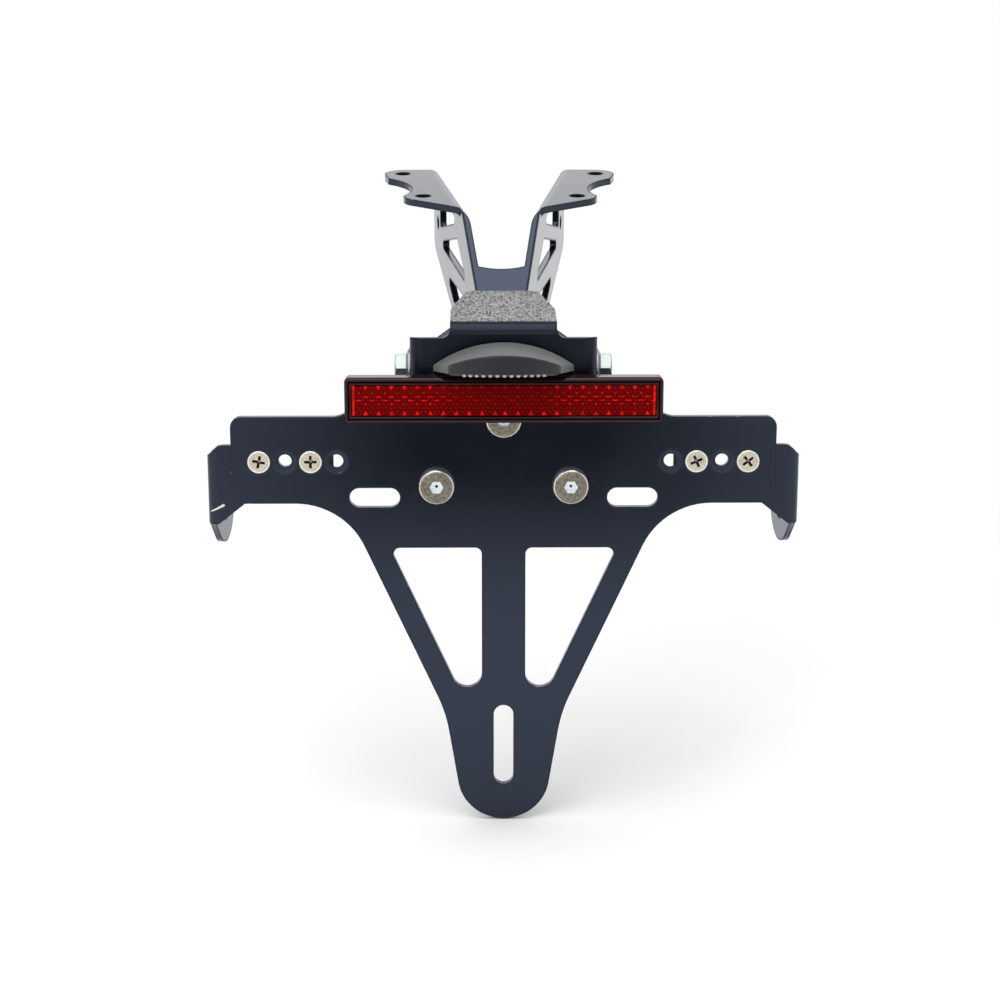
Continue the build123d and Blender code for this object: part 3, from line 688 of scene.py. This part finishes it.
@dataclass(frozen=True)
class ReflexAcrylic(Finish):
    """Red acrylic over moulded prisms: dark red cells, with painted glints on rows of prisms for the light that they
    send back.
    """

    colour: str = "#7a0808"
    wall: str = "#560303"
    # Painted glints: the bright red that the prisms send back
    painted_glint: str = "#ff1c0c"
    glint: str = "#6a4448"
    roughness: float = 0.12
    cell_mm: float = 1.5
    cell_range: Pair = (-1.4, 0.6)
    pitch_mm: float = 4.22
    first_mm: float = 1.6
    centre_x_mm: float = -1.24
    field_top_mm: float = 39.95
    half_length_mm: float = 49.5
    end_in_mm: Pair = (1.0, 0.7)
    uneven_mm: float = 3.0
    uneven_range: Pair = (0.35, 0.6)
    uneven_share: float = 0.35
    shaded_mm: Pair = (14.0, 22.0)
    shaded_share: float = 0.3
    mark_fade: Pair = (1.15, 0.85)
    rows: tuple[MarkRow, ...] = (
        MarkRow(Mark.POINT_DOWN, 0.85, 0.75, 0.7),
        MarkRow(Mark.DOT, 2.6, 0.3, 0.2, 0.5),
        MarkRow(Mark.DASH, 3.8, 0.8, 0.18),
        MarkRow(Mark.DASH, 5.0, 0.8, 0.18, 0.5),
        MarkRow(Mark.DOT, 6.2, 0.32, 0.24),
        MarkRow(Mark.POINT_UP, 9.15, 0.75, 0.7, all_along=True),
    )

    def lay(self, graph: Graph) -> None:
        """Lay the cells, and paint glints on the rows of prisms and at the ends.

        Args:
            graph: The material's nodes.
        """
        in_mm = graph.scale(graph.place, 1 / MM)
        cells = self.lay_cells(graph, in_mm)
        colour = graph.mix(cells, self.wall, self.colour)
        across, up = graph.along(Axis.X, in_mm), graph.along(Axis.Z, in_mm)
        away = graph.calc("ABSOLUTE", graph.calc("SUBTRACT", across, self.centre_x_mm))
        # The lamp's shade leaves the prisms weaker in the middle
        strength = graph.ramp(away, *self.shaded_mm, self.shaded_share)
        uneven = graph.noise(self.uneven_mm, detail=1.0)
        lit = graph.ramp(uneven, *self.uneven_range, self.uneven_share)
        glow = graph.calc("MULTIPLY", strength, lit)
        # Painted glints on the rows of prisms
        for row in self.rows:
            mask = self.lay_row(graph, row, away, up)
            seen = graph.calc("MULTIPLY", mask, lit if row.all_along else glow, clamp=True)
            colour = graph.mix(seen, colour, self.painted_glint)
        # Painted glints at the lens's ends
        ends = (self.half_length_mm - inset for inset in self.end_in_mm)
        end = graph.ramp(graph.calc("ABSOLUTE", across), *ends)
        colour = graph.mix(graph.calc("MULTIPLY", end, lit), colour, self.painted_glint)
        graph.put({"Base Color": colour, "Normal": graph.bump(cells, strength=0.15, depth_mm=0.1)})
        graph.put({"Roughness": self.roughness, "Specular Tint": self.glint})

    def lay_cells(self, graph: Graph, in_mm: Socket) -> Socket:
        """Lay the six-sided cells as three crossing waves.

        Args:
            graph: The material's nodes.
            in_mm: Object coordinates in millimetres.

        Returns:
            Nought on the cells' walls and one in their middles.
        """
        reach = 2 * math.pi / (self.cell_mm * math.cos(math.radians(30)))
        total: Number = 0.0
        for turn in (30, 90, 150):
            way = (reach * math.cos(math.radians(turn)), 0.0, reach * math.sin(math.radians(turn)))
            total = graph.calc("ADD", total, graph.calc("COSINE", graph.measure("DOT_PRODUCT", in_mm, way)))
        return graph.ramp(total, *self.cell_range)

    def lay_row(self, graph: Graph, row: MarkRow, away: Socket, up: Socket) -> Socket:
        """Lay the painted glints of one row of prisms.

        Args:
            graph: The material's nodes.
            row: The row.
            away: Distance from the reflector's middle, in millimetres.
            up: Height in millimetres.

        Returns:
            One on the row's prisms and nought elsewhere.
        """
        start = self.first_mm + (row.shift - 0.5) * self.pitch_mm
        turn = graph.calc("WRAP", graph.calc("SUBTRACT", away, start), self.pitch_mm, 0.0)
        across = graph.calc("ABSOLUTE", graph.calc("SUBTRACT", turn, self.pitch_mm / 2))
        aside = graph.calc("DIVIDE", across, row.half_width_mm)
        rise = graph.calc("SUBTRACT", up, self.field_top_mm - row.depth_mm)
        tall = graph.calc("DIVIDE", rise, row.half_height_mm)
        over = graph.calc("ABSOLUTE", tall)
        if row.shape is Mark.DOT:
            pair = add_node(graph.tree, "CombineXYZ", {0: aside, 1: over}).outputs[0]
            out = graph.measure("LENGTH", pair)
        elif row.shape is Mark.DASH:
            out = graph.calc("MAXIMUM", aside, over)
        else:
            lean = 0.5 if row.shape is Mark.POINT_DOWN else -0.5
            room = graph.calc("SUBTRACT", aside, graph.calc("MULTIPLY_ADD", tall, lean, 0.5))
            out = graph.calc("MAXIMUM", graph.calc("ADD", room, 1.0), over)
        return graph.ramp(out, *self.mark_fade)


@dataclass(frozen=True)
class ClearPolycarbonate(Finish):
    """Clear moulded polycarbonate: see-through, with bright edges and faint flow lines."""

    colour: str = "#74777a"
    roughness: float = 0.06
    clearness: float = 0.85
    ior: float = 1.58
    flow_mm: float = 2.0

    def lay(self, graph: Graph) -> None:
        """Lay the clear plastic with its flow lines.

        Args:
            graph: The material's nodes.
        """
        graph.put({"Base Color": self.colour, "Transmission Weight": self.clearness, "IOR": self.ior})
        waves = graph.bump(graph.noise(self.flow_mm, detail=2.0), strength=0.08, depth_mm=0.1)
        graph.put({"Roughness": self.roughness, "Normal": waves})


@dataclass(frozen=True)
class SoftLamp:
    """A soft rectangular lamp that points at the part, unseen by the camera."""

    name: str
    place: Point
    size: Pair
    power: float
    target: Point = (0.0, 0.05, 0.0)

    def build(self) -> None:
        """Hang the lamp."""
        bpy.ops.object.light_add(type="AREA", location=self.place)
        lamp = bpy.context.active_object
        lamp.name = self.name
        lamp.data.shape = "RECTANGLE"
        lamp.data.size, lamp.data.size_y = self.size
        lamp.data.energy = self.power
        lamp.visible_camera = False
        lamp.rotation_euler = (Vector(self.target) - Vector(self.place)).to_track_quat("-Z", "Y").to_euler()


@dataclass(frozen=True)
class Studio:
    """Pale floor that runs into white surroundings, and soft lamps over and behind the part.

    Reflections see a dim patch where the photographer stands, and a dimmer ceiling and rear.
    """

    floor_colour: str = "#ffffff"
    floor_z: float = -0.1148
    floor_half: float = 1.0
    fade_from: float = 0.22
    fade_to: float = 0.55
    even_light: float = 0.55
    dark_way: Point = (0.013, -0.972, -0.235)
    dark_in_deg: float = 2.5
    dark_out_deg: float = 7.0
    dark_share: float = 0.98
    rear_dim: float = 0.22
    rear_range: Pair = (0.0, 0.5)
    ceiling_dim: float = 0.4
    ceiling_range: Pair = (0.4, 0.8)
    rear_high_dim: float = 0.75
    rear_high_range: Pair = (0.5, 0.65)
    rear_high_back: Pair = (0.0, 0.2)
    lamps: tuple[SoftLamp, ...] = (
        SoftLamp("over_softbox", (-0.1, -0.2, 1.2), (1.3, 1.3), 11.0),
        SoftLamp("rear_softbox", (0.0, 1.3, 0.62), (1.6, 0.7), 1.8),
        SoftLamp("low_rear_softbox", (0.0, 1.4, -0.2), (2.0, 0.7), 1.6),
        SoftLamp("front_fill", (-0.7, -1.1, 0.7), (0.9, 0.9), 5.0),
    )

    def build(self) -> None:
        """Make the floor, the world and the lamps."""
        self.lay_floor()
        self.light_world()
        for lamp in self.lamps:
            lamp.build()

    def lay_floor(self) -> None:
        """Lay a pale floor that catches a soft shadow and fades into the white round it."""
        bpy.ops.object.select_all(action="DESELECT")
        bpy.ops.mesh.primitive_plane_add(size=2 * self.floor_half, location=(0, 0, self.floor_z))
        floor = bpy.context.active_object
        floor.name = "studio_floor"
        # Pale ground that catches a soft shadow under the part
        material = bpy.data.materials.new("pale_floor")
        material.use_nodes = True
        tree = material.node_tree
        tree.nodes.clear()
        graph = Graph(tree, add_node(tree, "TexCoord").outputs["Object"])
        pale = add_node(tree, "BsdfDiffuse", {"Color": self.floor_colour}).outputs[0]
        gone = add_node(tree, "BsdfTransparent").outputs[0]
        away = graph.measure("LENGTH", graph.place)
        share = graph.ramp(away, self.fade_from, self.fade_to, interpolation_type="SMOOTHSTEP")
        # The floor can be seen through from below, so that it doesn't hide the part's underside
        under = add_node(tree, "NewGeometry").outputs["Backfacing"]
        both = add_node(tree, "MixShader", {0: graph.calc("MAXIMUM", share, under), 1: pale, 2: gone})
        add_node(tree, "OutputMaterial", {"Surface": both.outputs[0]})
        floor.data.materials.append(material)

    def light_world(self) -> None:
        """White surroundings for the camera and for reflections, and a soft even light."""
        world = bpy.data.worlds.new("white_studio")
        bpy.context.scene.world = world
        world.use_nodes = True
        tree = world.node_tree
        tree.nodes.clear()
        path = add_node(tree, "LightPath").outputs
        graph = Graph(tree, add_node(tree, "TexCoord").outputs["Generated"])
        seen = graph.calc("MAXIMUM", path["Is Camera Ray"], path["Is Glossy Ray"])
        through = graph.calc("MAXIMUM", seen, path["Is Transmission Ray"])
        bright = graph.ramp(through, 0.0, 1.0, self.even_light, 1.0)
        ahead = graph.measure("DOT_PRODUCT", graph.place, self.dark_way)
        outer, inner = (math.cos(math.radians(angle)) for angle in (self.dark_out_deg, self.dark_in_deg))
        dark = graph.ramp(ahead, outer, inner, 0.0, self.dark_share, interpolation_type="SMOOTHSTEP")
        back, up = graph.along(Axis.Y), graph.along(Axis.Z)
        rear = graph.ramp(back, *self.rear_range, to_high=self.rear_dim)
        ceiling = graph.ramp(up, *self.ceiling_range, to_high=self.ceiling_dim)
        high = graph.ramp(up, *self.rear_high_range, to_high=self.rear_high_dim)
        upper = graph.calc("MULTIPLY", graph.ramp(back, *self.rear_high_back), high)
        above = graph.calc("ADD", rear, graph.calc("MAXIMUM", ceiling, upper))
        shade = graph.calc("MULTIPLY", graph.calc("ADD", dark, above), path["Is Glossy Ray"])
        strength = graph.calc("SUBTRACT", bright, shade)
        light = add_node(tree, "Background", {"Color": "#ffffff", "Strength": strength})
        add_node(tree, "OutputWorld", {"Surface": light.outputs[0]})


@dataclass(frozen=True)
class PhotoCamera:
    """The photograph's viewpoint: behind the bike and a little above."""

    place: Point = (-0.0078, -0.71217, 0.18124)
    pitch_deg: float = 14.34
    yaw_deg: float = 0.53
    focal_px: float = 2206.0
    picture_px: float = 1000.0
    sensor_mm: float = 36.0

    def build(self) -> None:
        """Make the camera and look through it."""
        turn = (math.radians(90 - self.pitch_deg), 0, -math.radians(self.yaw_deg))
        bpy.ops.object.camera_add(location=self.place, rotation=turn)
        camera = bpy.context.active_object
        camera.name = "photo_camera"
        camera.data.sensor_width = self.sensor_mm
        camera.data.lens = self.sensor_mm * self.focal_px / self.picture_px
        camera.data.clip_start = 0.01
        bpy.context.scene.camera = camera


@dataclass(frozen=True)
class IndicatorBrackets:
    """Folded indicator brackets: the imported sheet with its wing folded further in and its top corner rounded."""

    fold_x_mm: float = 95.4
    fold_y_mm: float = 6.0
    turn_deg: float = 6.6
    corner_x_mm: float = 94.9
    corner_z_mm: float = 17.4
    corner_r_mm: float = 2.4
    corner_near_mm: float = 0.1
    fold_near_mm: float = 0.01

    def build(self, node: str, side: float, material: Material) -> None:
        """Shape one bracket from a merged copy of its packed sheet.

        Args:
            node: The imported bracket's name.
            side: One for the right-hand bracket and minus one for the left-hand one.
            material: Its coat.
        """
        corner = Vector((side * self.corner_x_mm, self.corner_z_mm))
        piece = merged_copy(node)
        pick_ends(piece, lambda end: max(map(abs, end.xz - corner)) < self.corner_near_mm)
        bevel_picked(self.corner_r_mm, 5)
        pick_ends(piece, lambda end: end.y > self.fold_y_mm - self.fold_near_mm)
        turn_picked(Axis.Z, -side * self.turn_deg, (side * self.fold_x_mm, self.fold_y_mm, 0.0))
        hand_over(piece, node + "_folded", material, Body.PLATE_HEAD)
        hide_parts(node)


@dataclass(frozen=True)
class HoodBracket:
    """Hinge bracket with its hood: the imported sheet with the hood's fold a little lower and its end raised."""

    fold_y_mm: float = 6.5
    fold_low_z_mm: float = 55.5
    fold_centre_z_mm: float = 55.6
    drop_mm: float = 1.2
    rise_deg: float = 2.9
    fold_near_mm: float = 0.02

    def build(self, material: Material) -> None:
        """Shape the bracket from a merged copy of its packed sheet.

        Args:
            material: Its coat.
        """
        piece = merged_copy("hinge_bracket")
        pick_ends(piece, lambda end: end.z > self.fold_low_z_mm)
        bpy.ops.transform.translate(value=(0.0, 0.0, -self.drop_mm * MM))
        low_z, from_y = self.fold_low_z_mm - self.drop_mm, self.fold_y_mm - self.fold_near_mm
        pick_ends(piece, lambda end: end.z > low_z and end.y > from_y)
        turn_picked(Axis.X, -self.rise_deg, (0.0, self.fold_y_mm, self.fold_centre_z_mm - self.drop_mm))
        hand_over(piece, "hinge_bracket_with_hood", material, Body.PLATE_HEAD)
        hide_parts("hinge_bracket")


@dataclass(frozen=True)
class Sheetwork:
    """The folded steel sheets, all in one black coat; the hood's top is wrinkled."""

    # Near black face on, and a pale blue grey where a sheet is seen at a low angle
    coat: PowderCoat = PowderCoat("black_powder_coat")
    # The same coat, duller in the open countersinks, whose cones are painted a lighter grey as a painted reflection,
    # so that they hardly stand out
    carrier: PowderCoat = PowderCoat("countersunk_powder_coat", sinks_mm=((55.5, 12.25), (72.64, 12.25)))
    # A wrinkled top whose crests are painted grey as a painted highlight, palest at a low angle, over a dark satin
    # fold
    hood: PowderCoat = PowderCoat("wrinkled_powder_coat", ior=1.42, roughness=0.3, chip_limit=0.7, wrinkle_mm=0.75)
    # The same coat with one short bright scrape near the wing's end
    scraped: PowderCoat = PowderCoat(
        "scraped_powder_coat", chip="#e2e2da", scrape_mm=((-97.8, -5.3), (-93.6, -3.1)), scrape_half_mm=0.36
    )

    def dress(self) -> None:
        """Give every sheet its coat."""
        coat = self.coat.build()
        dress_node("main_bracket", coat)
        dress_node("plate_carrier", self.carrier.build())
        HoodBracket().build(self.hood.build())
        brackets = IndicatorBrackets()
        brackets.build("right_indicator_bracket", 1.0, coat)
        brackets.build("left_indicator_bracket", -1.0, self.scraped.build())


@dataclass(frozen=True)
class IndicatorScrews:
    """The countersunk indicator screws, with the cross of each turned as its driver left it."""

    centre_z_mm: float = 12.25
    reach_mm: float = 8.0
    turns_deg: Places = ((-81.21, -12.0), (64.07, 24.0), (81.21, 38.0))

    def build(self, material: Material) -> None:
        """Turn the screws of a merged copy, each round its own axis.

        Args:
            material: Their plating.
        """
        piece = merged_copy("indicator_screws")
        for x_mm, turn_deg in self.turns_deg:
            pick_ends(piece, lambda end: abs(end.x - x_mm) < self.reach_mm)
            turn_picked(Axis.Y, turn_deg, (x_mm, 0.0, self.centre_z_mm))
        hand_over(piece, "indicator_screws_turned", material, Body.PLATE_HEAD)
        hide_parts("indicator_screws")


@dataclass(frozen=True)
class Fasteners:
    """Screws, studs, washers and nuts by their plating."""

    plain: tuple[str, ...] = (
        "indicator_washers", "indicator_nuts", "carrier_washers", "carrier_nuts",
        "pivot_washers", "pivot_nuts", "reflector_washers", "reflector_nuts",
    )
    threaded: tuple[str, ...] = ("reflector_studs", "lamp_screws")
    # Warm bright heads with a painted highlight on the rim, and painted shade in the cross that is lighter in its
    # middle
    nickel: PlatedSteel = PlatedSteel(
        "nickel_plate", "#e8e0cc", "#b0a797", roughness=0.3, mottle_mm=1.6, thread_mm=0.7,
        heads_mm=((64.07, 12.25), (81.21, 12.25)), cross_r_mm=2.6,
    )
    # Brownish mottled heads with a painted highlight on the rim, round a socket with a painted reflection and painted
    # shade in its pit
    dull: PlatedSteel = PlatedSteel(
        "dull_zinc_plate", "#a9a292", "#2a2520", roughness=0.3, mottle_mm=0.7, thread_mm=1.0,
        heads_mm=((22.3, 4.2), (0.0, 26.8)), head_r_mm=5.9, socket_r_mm=2.5, socket_from_y_mm=-2.95,
    )
    # Cool grey metal with faint clouds
    zinc: PlatedSteel = PlatedSteel("bright_zinc_plate")
    # The same zinc with fine ridges along the shank
    stud: PlatedSteel = PlatedSteel("zinc_stud_thread", thread_mm=0.8)

    def dress(self) -> None:
        """Give each fastener its plating and thread."""
        IndicatorScrews().build(self.nickel.build())
        dress_node("carrier_screws", self.dull.build())
        for finish, nodes in ((self.zinc, self.plain), (self.stud, self.threaded)):
            material = finish.build()
            for node in nodes:
                dress_node(node, material)


@dataclass(frozen=True)
class PivotBolts:
    """Two flange-head bolts through the ears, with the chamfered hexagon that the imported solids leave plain."""

    ear_x_mm: float = 31.0
    axis_y_mm: float = 15.0
    axis_z_mm: float = 40.6
    head_h_mm: float = 5.2
    head_from_mm: float = 0.8
    head_flats_mm: float = 10.0
    head_turn_deg: float = 14.0
    corner_mm: float = 0.2
    chamfer_r_mm: float = 4.7
    chamfer_deg: float = 30.0
    flange_r_mm: float = 7.2
    flange_rim_mm: float = 0.6
    flange_edge_mm: float = 0.15
    flange_cone_mm: float = 1.3
    flange_h_mm: float = 1.4
    shank_r_mm: float = 3.0
    shank_from_x_mm: float = 18.50
    shank_tip_mm: float = 0.5
    # Cool grey metal with thread ridges between the ears
    finish: PlatedSteel = PlatedSteel(
        "zinc_bolt_thread", thread_mm=1.0, thread_axis=Axis.X, thread_zone_mm=(0.0, ear_x_mm)
    )

    def build(self) -> None:
        """Model one bolt upright, copy it, lay both on the pivot's axis and join them."""
        bolt = self.turn_flange()
        self.combine(bolt, self.cut_hexagon(), Join.UNION)
        for piece, side in ((bolt, 1.0), (duplicate(bolt), -1.0)):
            piece.location = (side * self.ear_x_mm * MM, self.axis_y_mm * MM, self.axis_z_mm * MM)
            piece.rotation_mode = "ZYX"
            piece.rotation_euler = (0.0, side * math.pi / 2, -side * math.radians(self.head_turn_deg))
            piece.select_set(True)
        bpy.context.view_layer.objects.active = bolt
        bpy.ops.object.join()
        hand_over(bolt, "pivot_flange_bolts", self.finish.build(), Body.TAIL_BRACKET, 32.0)
        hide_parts("pivot_bolts")

    def turn_flange(self) -> Piece:
        """Model the flange with its coned top, and the shank under it.

        Returns:
            The bolt without its hexagon, standing on its flange at the origin.
        """
        bpy.ops.object.select_all(action="DESELECT")
        bpy.ops.mesh.primitive_cylinder_add(
            vertices=48,
            radius=self.flange_r_mm * MM,
            depth=self.flange_rim_mm * MM,
            location=(0.0, 0.0, self.flange_rim_mm / 2 * MM),
        )
        bpy.ops.object.transform_apply(location=True, rotation=True, scale=True)
        bolt = bpy.context.active_object
        pick(bolt, Pick.FACE, lambda centre, normal: normal.z > 0.9)
        bevel_picked(self.flange_edge_mm, 2)
        pick(bolt, Pick.FACE, lambda centre, normal: normal.z > 0.99)
        bpy.ops.mesh.inset(thickness=self.flange_cone_mm * MM)
        bpy.ops.transform.translate(value=(0.0, 0.0, (self.flange_h_mm - self.flange_rim_mm) * MM))
        pick(bolt, Pick.FACE, lambda centre, normal: normal.z < -0.9)
        bpy.ops.mesh.inset(thickness=(self.flange_r_mm - self.shank_r_mm) * MM)
        reach = (self.ear_x_mm - self.shank_from_x_mm) * MM
        bpy.ops.mesh.extrude_region_move(TRANSFORM_OT_translate={"value": (0.0, 0.0, -reach)})
        bevel_picked(self.shank_tip_mm, 1)
        bpy.ops.object.mode_set(mode="OBJECT")
        return bolt

    def cut_hexagon(self) -> Piece:
        """Model the hexagon and cut its corners with a cone.

        Returns:
            The hexagon, on the flange.
        """
        spread_mm = self.head_h_mm / math.tan(math.radians(self.chamfer_deg))
        bpy.ops.object.select_all(action="DESELECT")
        bpy.ops.mesh.primitive_cone_add(
            vertices=72,
            radius1=(self.chamfer_r_mm + spread_mm) * MM,
            radius2=self.chamfer_r_mm * MM,
            depth=self.head_h_mm * MM,
            location=(0.0, 0.0, self.head_h_mm / 2 * MM),
        )
        cone = bpy.context.active_object
        bpy.ops.object.select_all(action="DESELECT")
        bpy.ops.mesh.primitive_cylinder_add(
            vertices=6,
            radius=self.head_flats_mm / 2 / math.cos(math.pi / 6) * MM,
            depth=(self.head_h_mm - self.head_from_mm) * MM,
            location=(0.0, 0.0, (self.head_h_mm + self.head_from_mm) / 2 * MM),
        )
        bpy.ops.object.transform_apply(location=True, rotation=True, scale=True)
        hexagon = bpy.context.active_object
        pick(hexagon, Pick.EDGE, lambda one, other: abs(one.z - other.z) > 1.0)
        bevel_picked(self.corner_mm, 2)
        bpy.ops.object.mode_set(mode="OBJECT")
        self.combine(hexagon, cone, Join.INTERSECT)
        return hexagon

    def combine(self, keep: Piece, tool: Piece, way: Join) -> None:
        """Join or cut one piece with another, which is then removed.

        Args:
            keep: The piece that stays.
            tool: The other piece.
            way: How they are combined.
        """
        bpy.ops.object.select_all(action="DESELECT")
        keep.select_set(True)
        bpy.context.view_layer.objects.active = keep
        bpy.ops.object.modifier_add(type="BOOLEAN")
        cut = keep.modifiers[-1]
        cut.operation = way.value
        cut.object = tool
        bpy.ops.object.modifier_apply(modifier=cut.name)
        bpy.data.objects.remove(tool)


@dataclass(frozen=True)
class Reflector:
    """Red reflector in its dark frame, on spacers. The frame's border is a round roll with a recess for the lens."""

    width_mm: float = 104.0
    height_mm: float = 15.2
    depth_mm: float = 6.0
    back_y_mm: float = -3.6
    centre_z_mm: float = 34.85
    corner_r_mm: float = 1.7
    rim_mm: float = 2.4
    roll_mm: float = 1.45
    lip_mm: float = 0.4
    back_edge_mm: float = 0.4
    recess_mm: float = 4.0
    near_mm: float = 0.05
    # Nearly black with a red cast, and glossy enough for a line of light along the roll
    frame_finish: MouldedPlastic = MouldedPlastic("dark_red_frame", "#1e0407", 0.06, 0.6, 0.004, "#dcc0c6", ior=1.46)
    # Dark red cells with rows of bright red marks, which are painted glints of the prisms
    lens_finish: ReflexAcrylic = ReflexAcrylic("red_reflex_acrylic")
    # Matt black, lost in the shade behind the frame
    spacer_finish: MouldedPlastic = MouldedPlastic("nylon_spacer", "#121214", 0.5)

    def build_frame(self) -> None:
        """Model the frame from a block: lens recess, round corners, rolled front edge and softened lip."""
        front = self.back_y_mm - self.depth_mm
        bpy.ops.object.select_all(action="DESELECT")
        bpy.ops.mesh.primitive_cube_add(
            size=1.0,
            location=(0.0, (self.back_y_mm + front) / 2 * MM, self.centre_z_mm * MM),
            scale=(self.width_mm * MM, self.depth_mm * MM, self.height_mm * MM),
        )
        bpy.ops.object.transform_apply(location=True, rotation=True, scale=True)
        piece = bpy.context.active_object
        pick(piece, Pick.FACE, lambda centre, normal: normal.y < -0.9)
        bpy.ops.mesh.inset(thickness=self.rim_mm * MM)
        bpy.ops.mesh.extrude_region_move(TRANSFORM_OT_translate={"value": (0.0, self.recess_mm * MM, 0.0)})
        pick(piece, Pick.EDGE, lambda one, other: abs(one.y - other.y) > self.depth_mm - 0.1)
        bevel_picked(self.corner_r_mm, 6)

        def beyond(point: Vector, inset_mm: float) -> Pair:
            """How far a point lies past the outline, drawn in by an inset, along X and Z."""
            half_x, half_z = self.width_mm / 2 - inset_mm, self.height_mm / 2 - inset_mm
            return abs(point.x) - half_x, abs(point.z - self.centre_z_mm) - half_z

        def outside(point: Vector) -> bool:
            """Whether a point lies on the rounded outline."""
            over = (max(part, 0.0) for part in beyond(point, self.corner_r_mm))
            return math.hypot(*over) > self.corner_r_mm - self.near_mm

        ahead, behind = front + self.near_mm, self.back_y_mm - self.near_mm
        pick_ends(piece, lambda end: end.y < ahead and outside(end))
        bevel_picked(self.roll_mm, 7)
        pick_ends(piece, lambda end: end.y < ahead and max(beyond(end, self.rim_mm)) < self.near_mm)
        bevel_picked(self.lip_mm, 3)
        pick_ends(piece, lambda end: end.y > behind and outside(end))
        bevel_picked(self.back_edge_mm, 3)
        hand_over(piece, "reflector_rolled_frame", self.frame_finish.build(), Body.PLATE_HEAD)
        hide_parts("reflector_housing")

    def dress(self) -> None:
        """Give the lens and the spacers their plastics."""
        dress_node("reflector_lens", self.lens_finish.build())
        dress_node("reflector_spacers", self.spacer_finish.build())


@dataclass(frozen=True)
class Lamp:
    """Number-plate lamp with its lens, board and light sources, and beads along the lens's front edge."""

    under_z_mm: float = 42.9
    under_rise: float = math.atan2(46.2 - 42.9, 24.0)
    arc_r_mm: float = 23.795
    arc_y_mm: float = -1.295
    bead_r_mm: float = 0.62
    bead_h_mm: float = 0.95
    bead_edge_mm: float = 0.28
    bead_sink_mm: float = 0.1
    bead_pitch_mm: float = 2.25
    beads: int = 13
    # White beads that stand out from the dark canopy
    milky: ClearPolycarbonate = ClearPolycarbonate("milky_polycarbonate", "#f6eeec", 0.25, 0.35)
    # Satin black that pales on its top
    canopy: MouldedPlastic = MouldedPlastic("black_lamp_canopy", "#17181b", 0.5, 0.35, 0.05, "#b4bac4", 0.36)
    # A clear window with bright edges
    clear: ClearPolycarbonate = ClearPolycarbonate("clear_polycarbonate")
    # A green gleam behind the window
    board: MouldedPlastic = MouldedPlastic("green_board_lacquer", "#1e4d2a", 0.3, 0.6, 0.02)
    # Small yellow squares on the board
    phosphor: MouldedPlastic = MouldedPlastic("yellow_phosphor", "#e6d27a", 0.3, 0.6, 0.02)

    def build_beads(self) -> None:
        """Model one bead, copy it along the lens's front edge and join the copies."""
        bpy.ops.object.select_all(action="DESELECT")
        bpy.ops.mesh.primitive_cylinder_add(vertices=12, radius=self.bead_r_mm * MM, depth=self.bead_h_mm * MM)
        first = bpy.context.active_object
        pick(first, Pick.FACE, lambda centre, normal: normal.z < -0.9)
        bevel_picked(self.bead_edge_mm, 3)
        bpy.ops.object.mode_set(mode="OBJECT")
        drop = self.bead_h_mm / 2 - self.bead_sink_mm
        sine, cosine = math.sin(self.under_rise), math.cos(self.under_rise)
        for i, bead in enumerate([first, *(duplicate(first) for _ in range(self.beads - 1))]):
            turn = (i - (self.beads - 1) / 2) * self.bead_pitch_mm / self.arc_r_mm
            ahead = self.arc_y_mm + self.arc_r_mm * math.cos(turn)
            bead.location = (
                self.arc_r_mm * math.sin(turn) * MM,
                (-ahead * cosine - drop * sine) * MM,
                (self.under_z_mm + ahead * sine - drop * cosine) * MM,
            )
            bead.rotation_euler = (-self.under_rise, 0.0, 0.0)
            bead.select_set(True)
        bpy.context.view_layer.objects.active = first
        bpy.ops.object.join()
        hand_over(first, "lamp_lens_beads", self.milky.build(), Body.PLATE_HEAD)

    def dress(self) -> None:
        """Give the lamp's pieces their plastics."""
        dress_node("lamp_housing", self.canopy.build())
        dress_node("lamp_lens", self.clear.build())
        dress_node("lamp_board", self.board.build())
        dress_node("lamp_leds", self.phosphor.build())


def main() -> None:
    """Dress the model and set up the studio."""
    logging.basicConfig(level=logging.INFO)
    bpy.context.scene.view_settings.view_transform = "Standard"
    Sheetwork().dress()
    Fasteners().dress()
    reflector = Reflector()
    reflector.dress()
    reflector.build_frame()
    PivotBolts().build()
    lamp = Lamp()
    lamp.dress()
    lamp.build_beads()
    Studio().build()
    PhotoCamera().build()


if __name__ == "__main__":
    main()
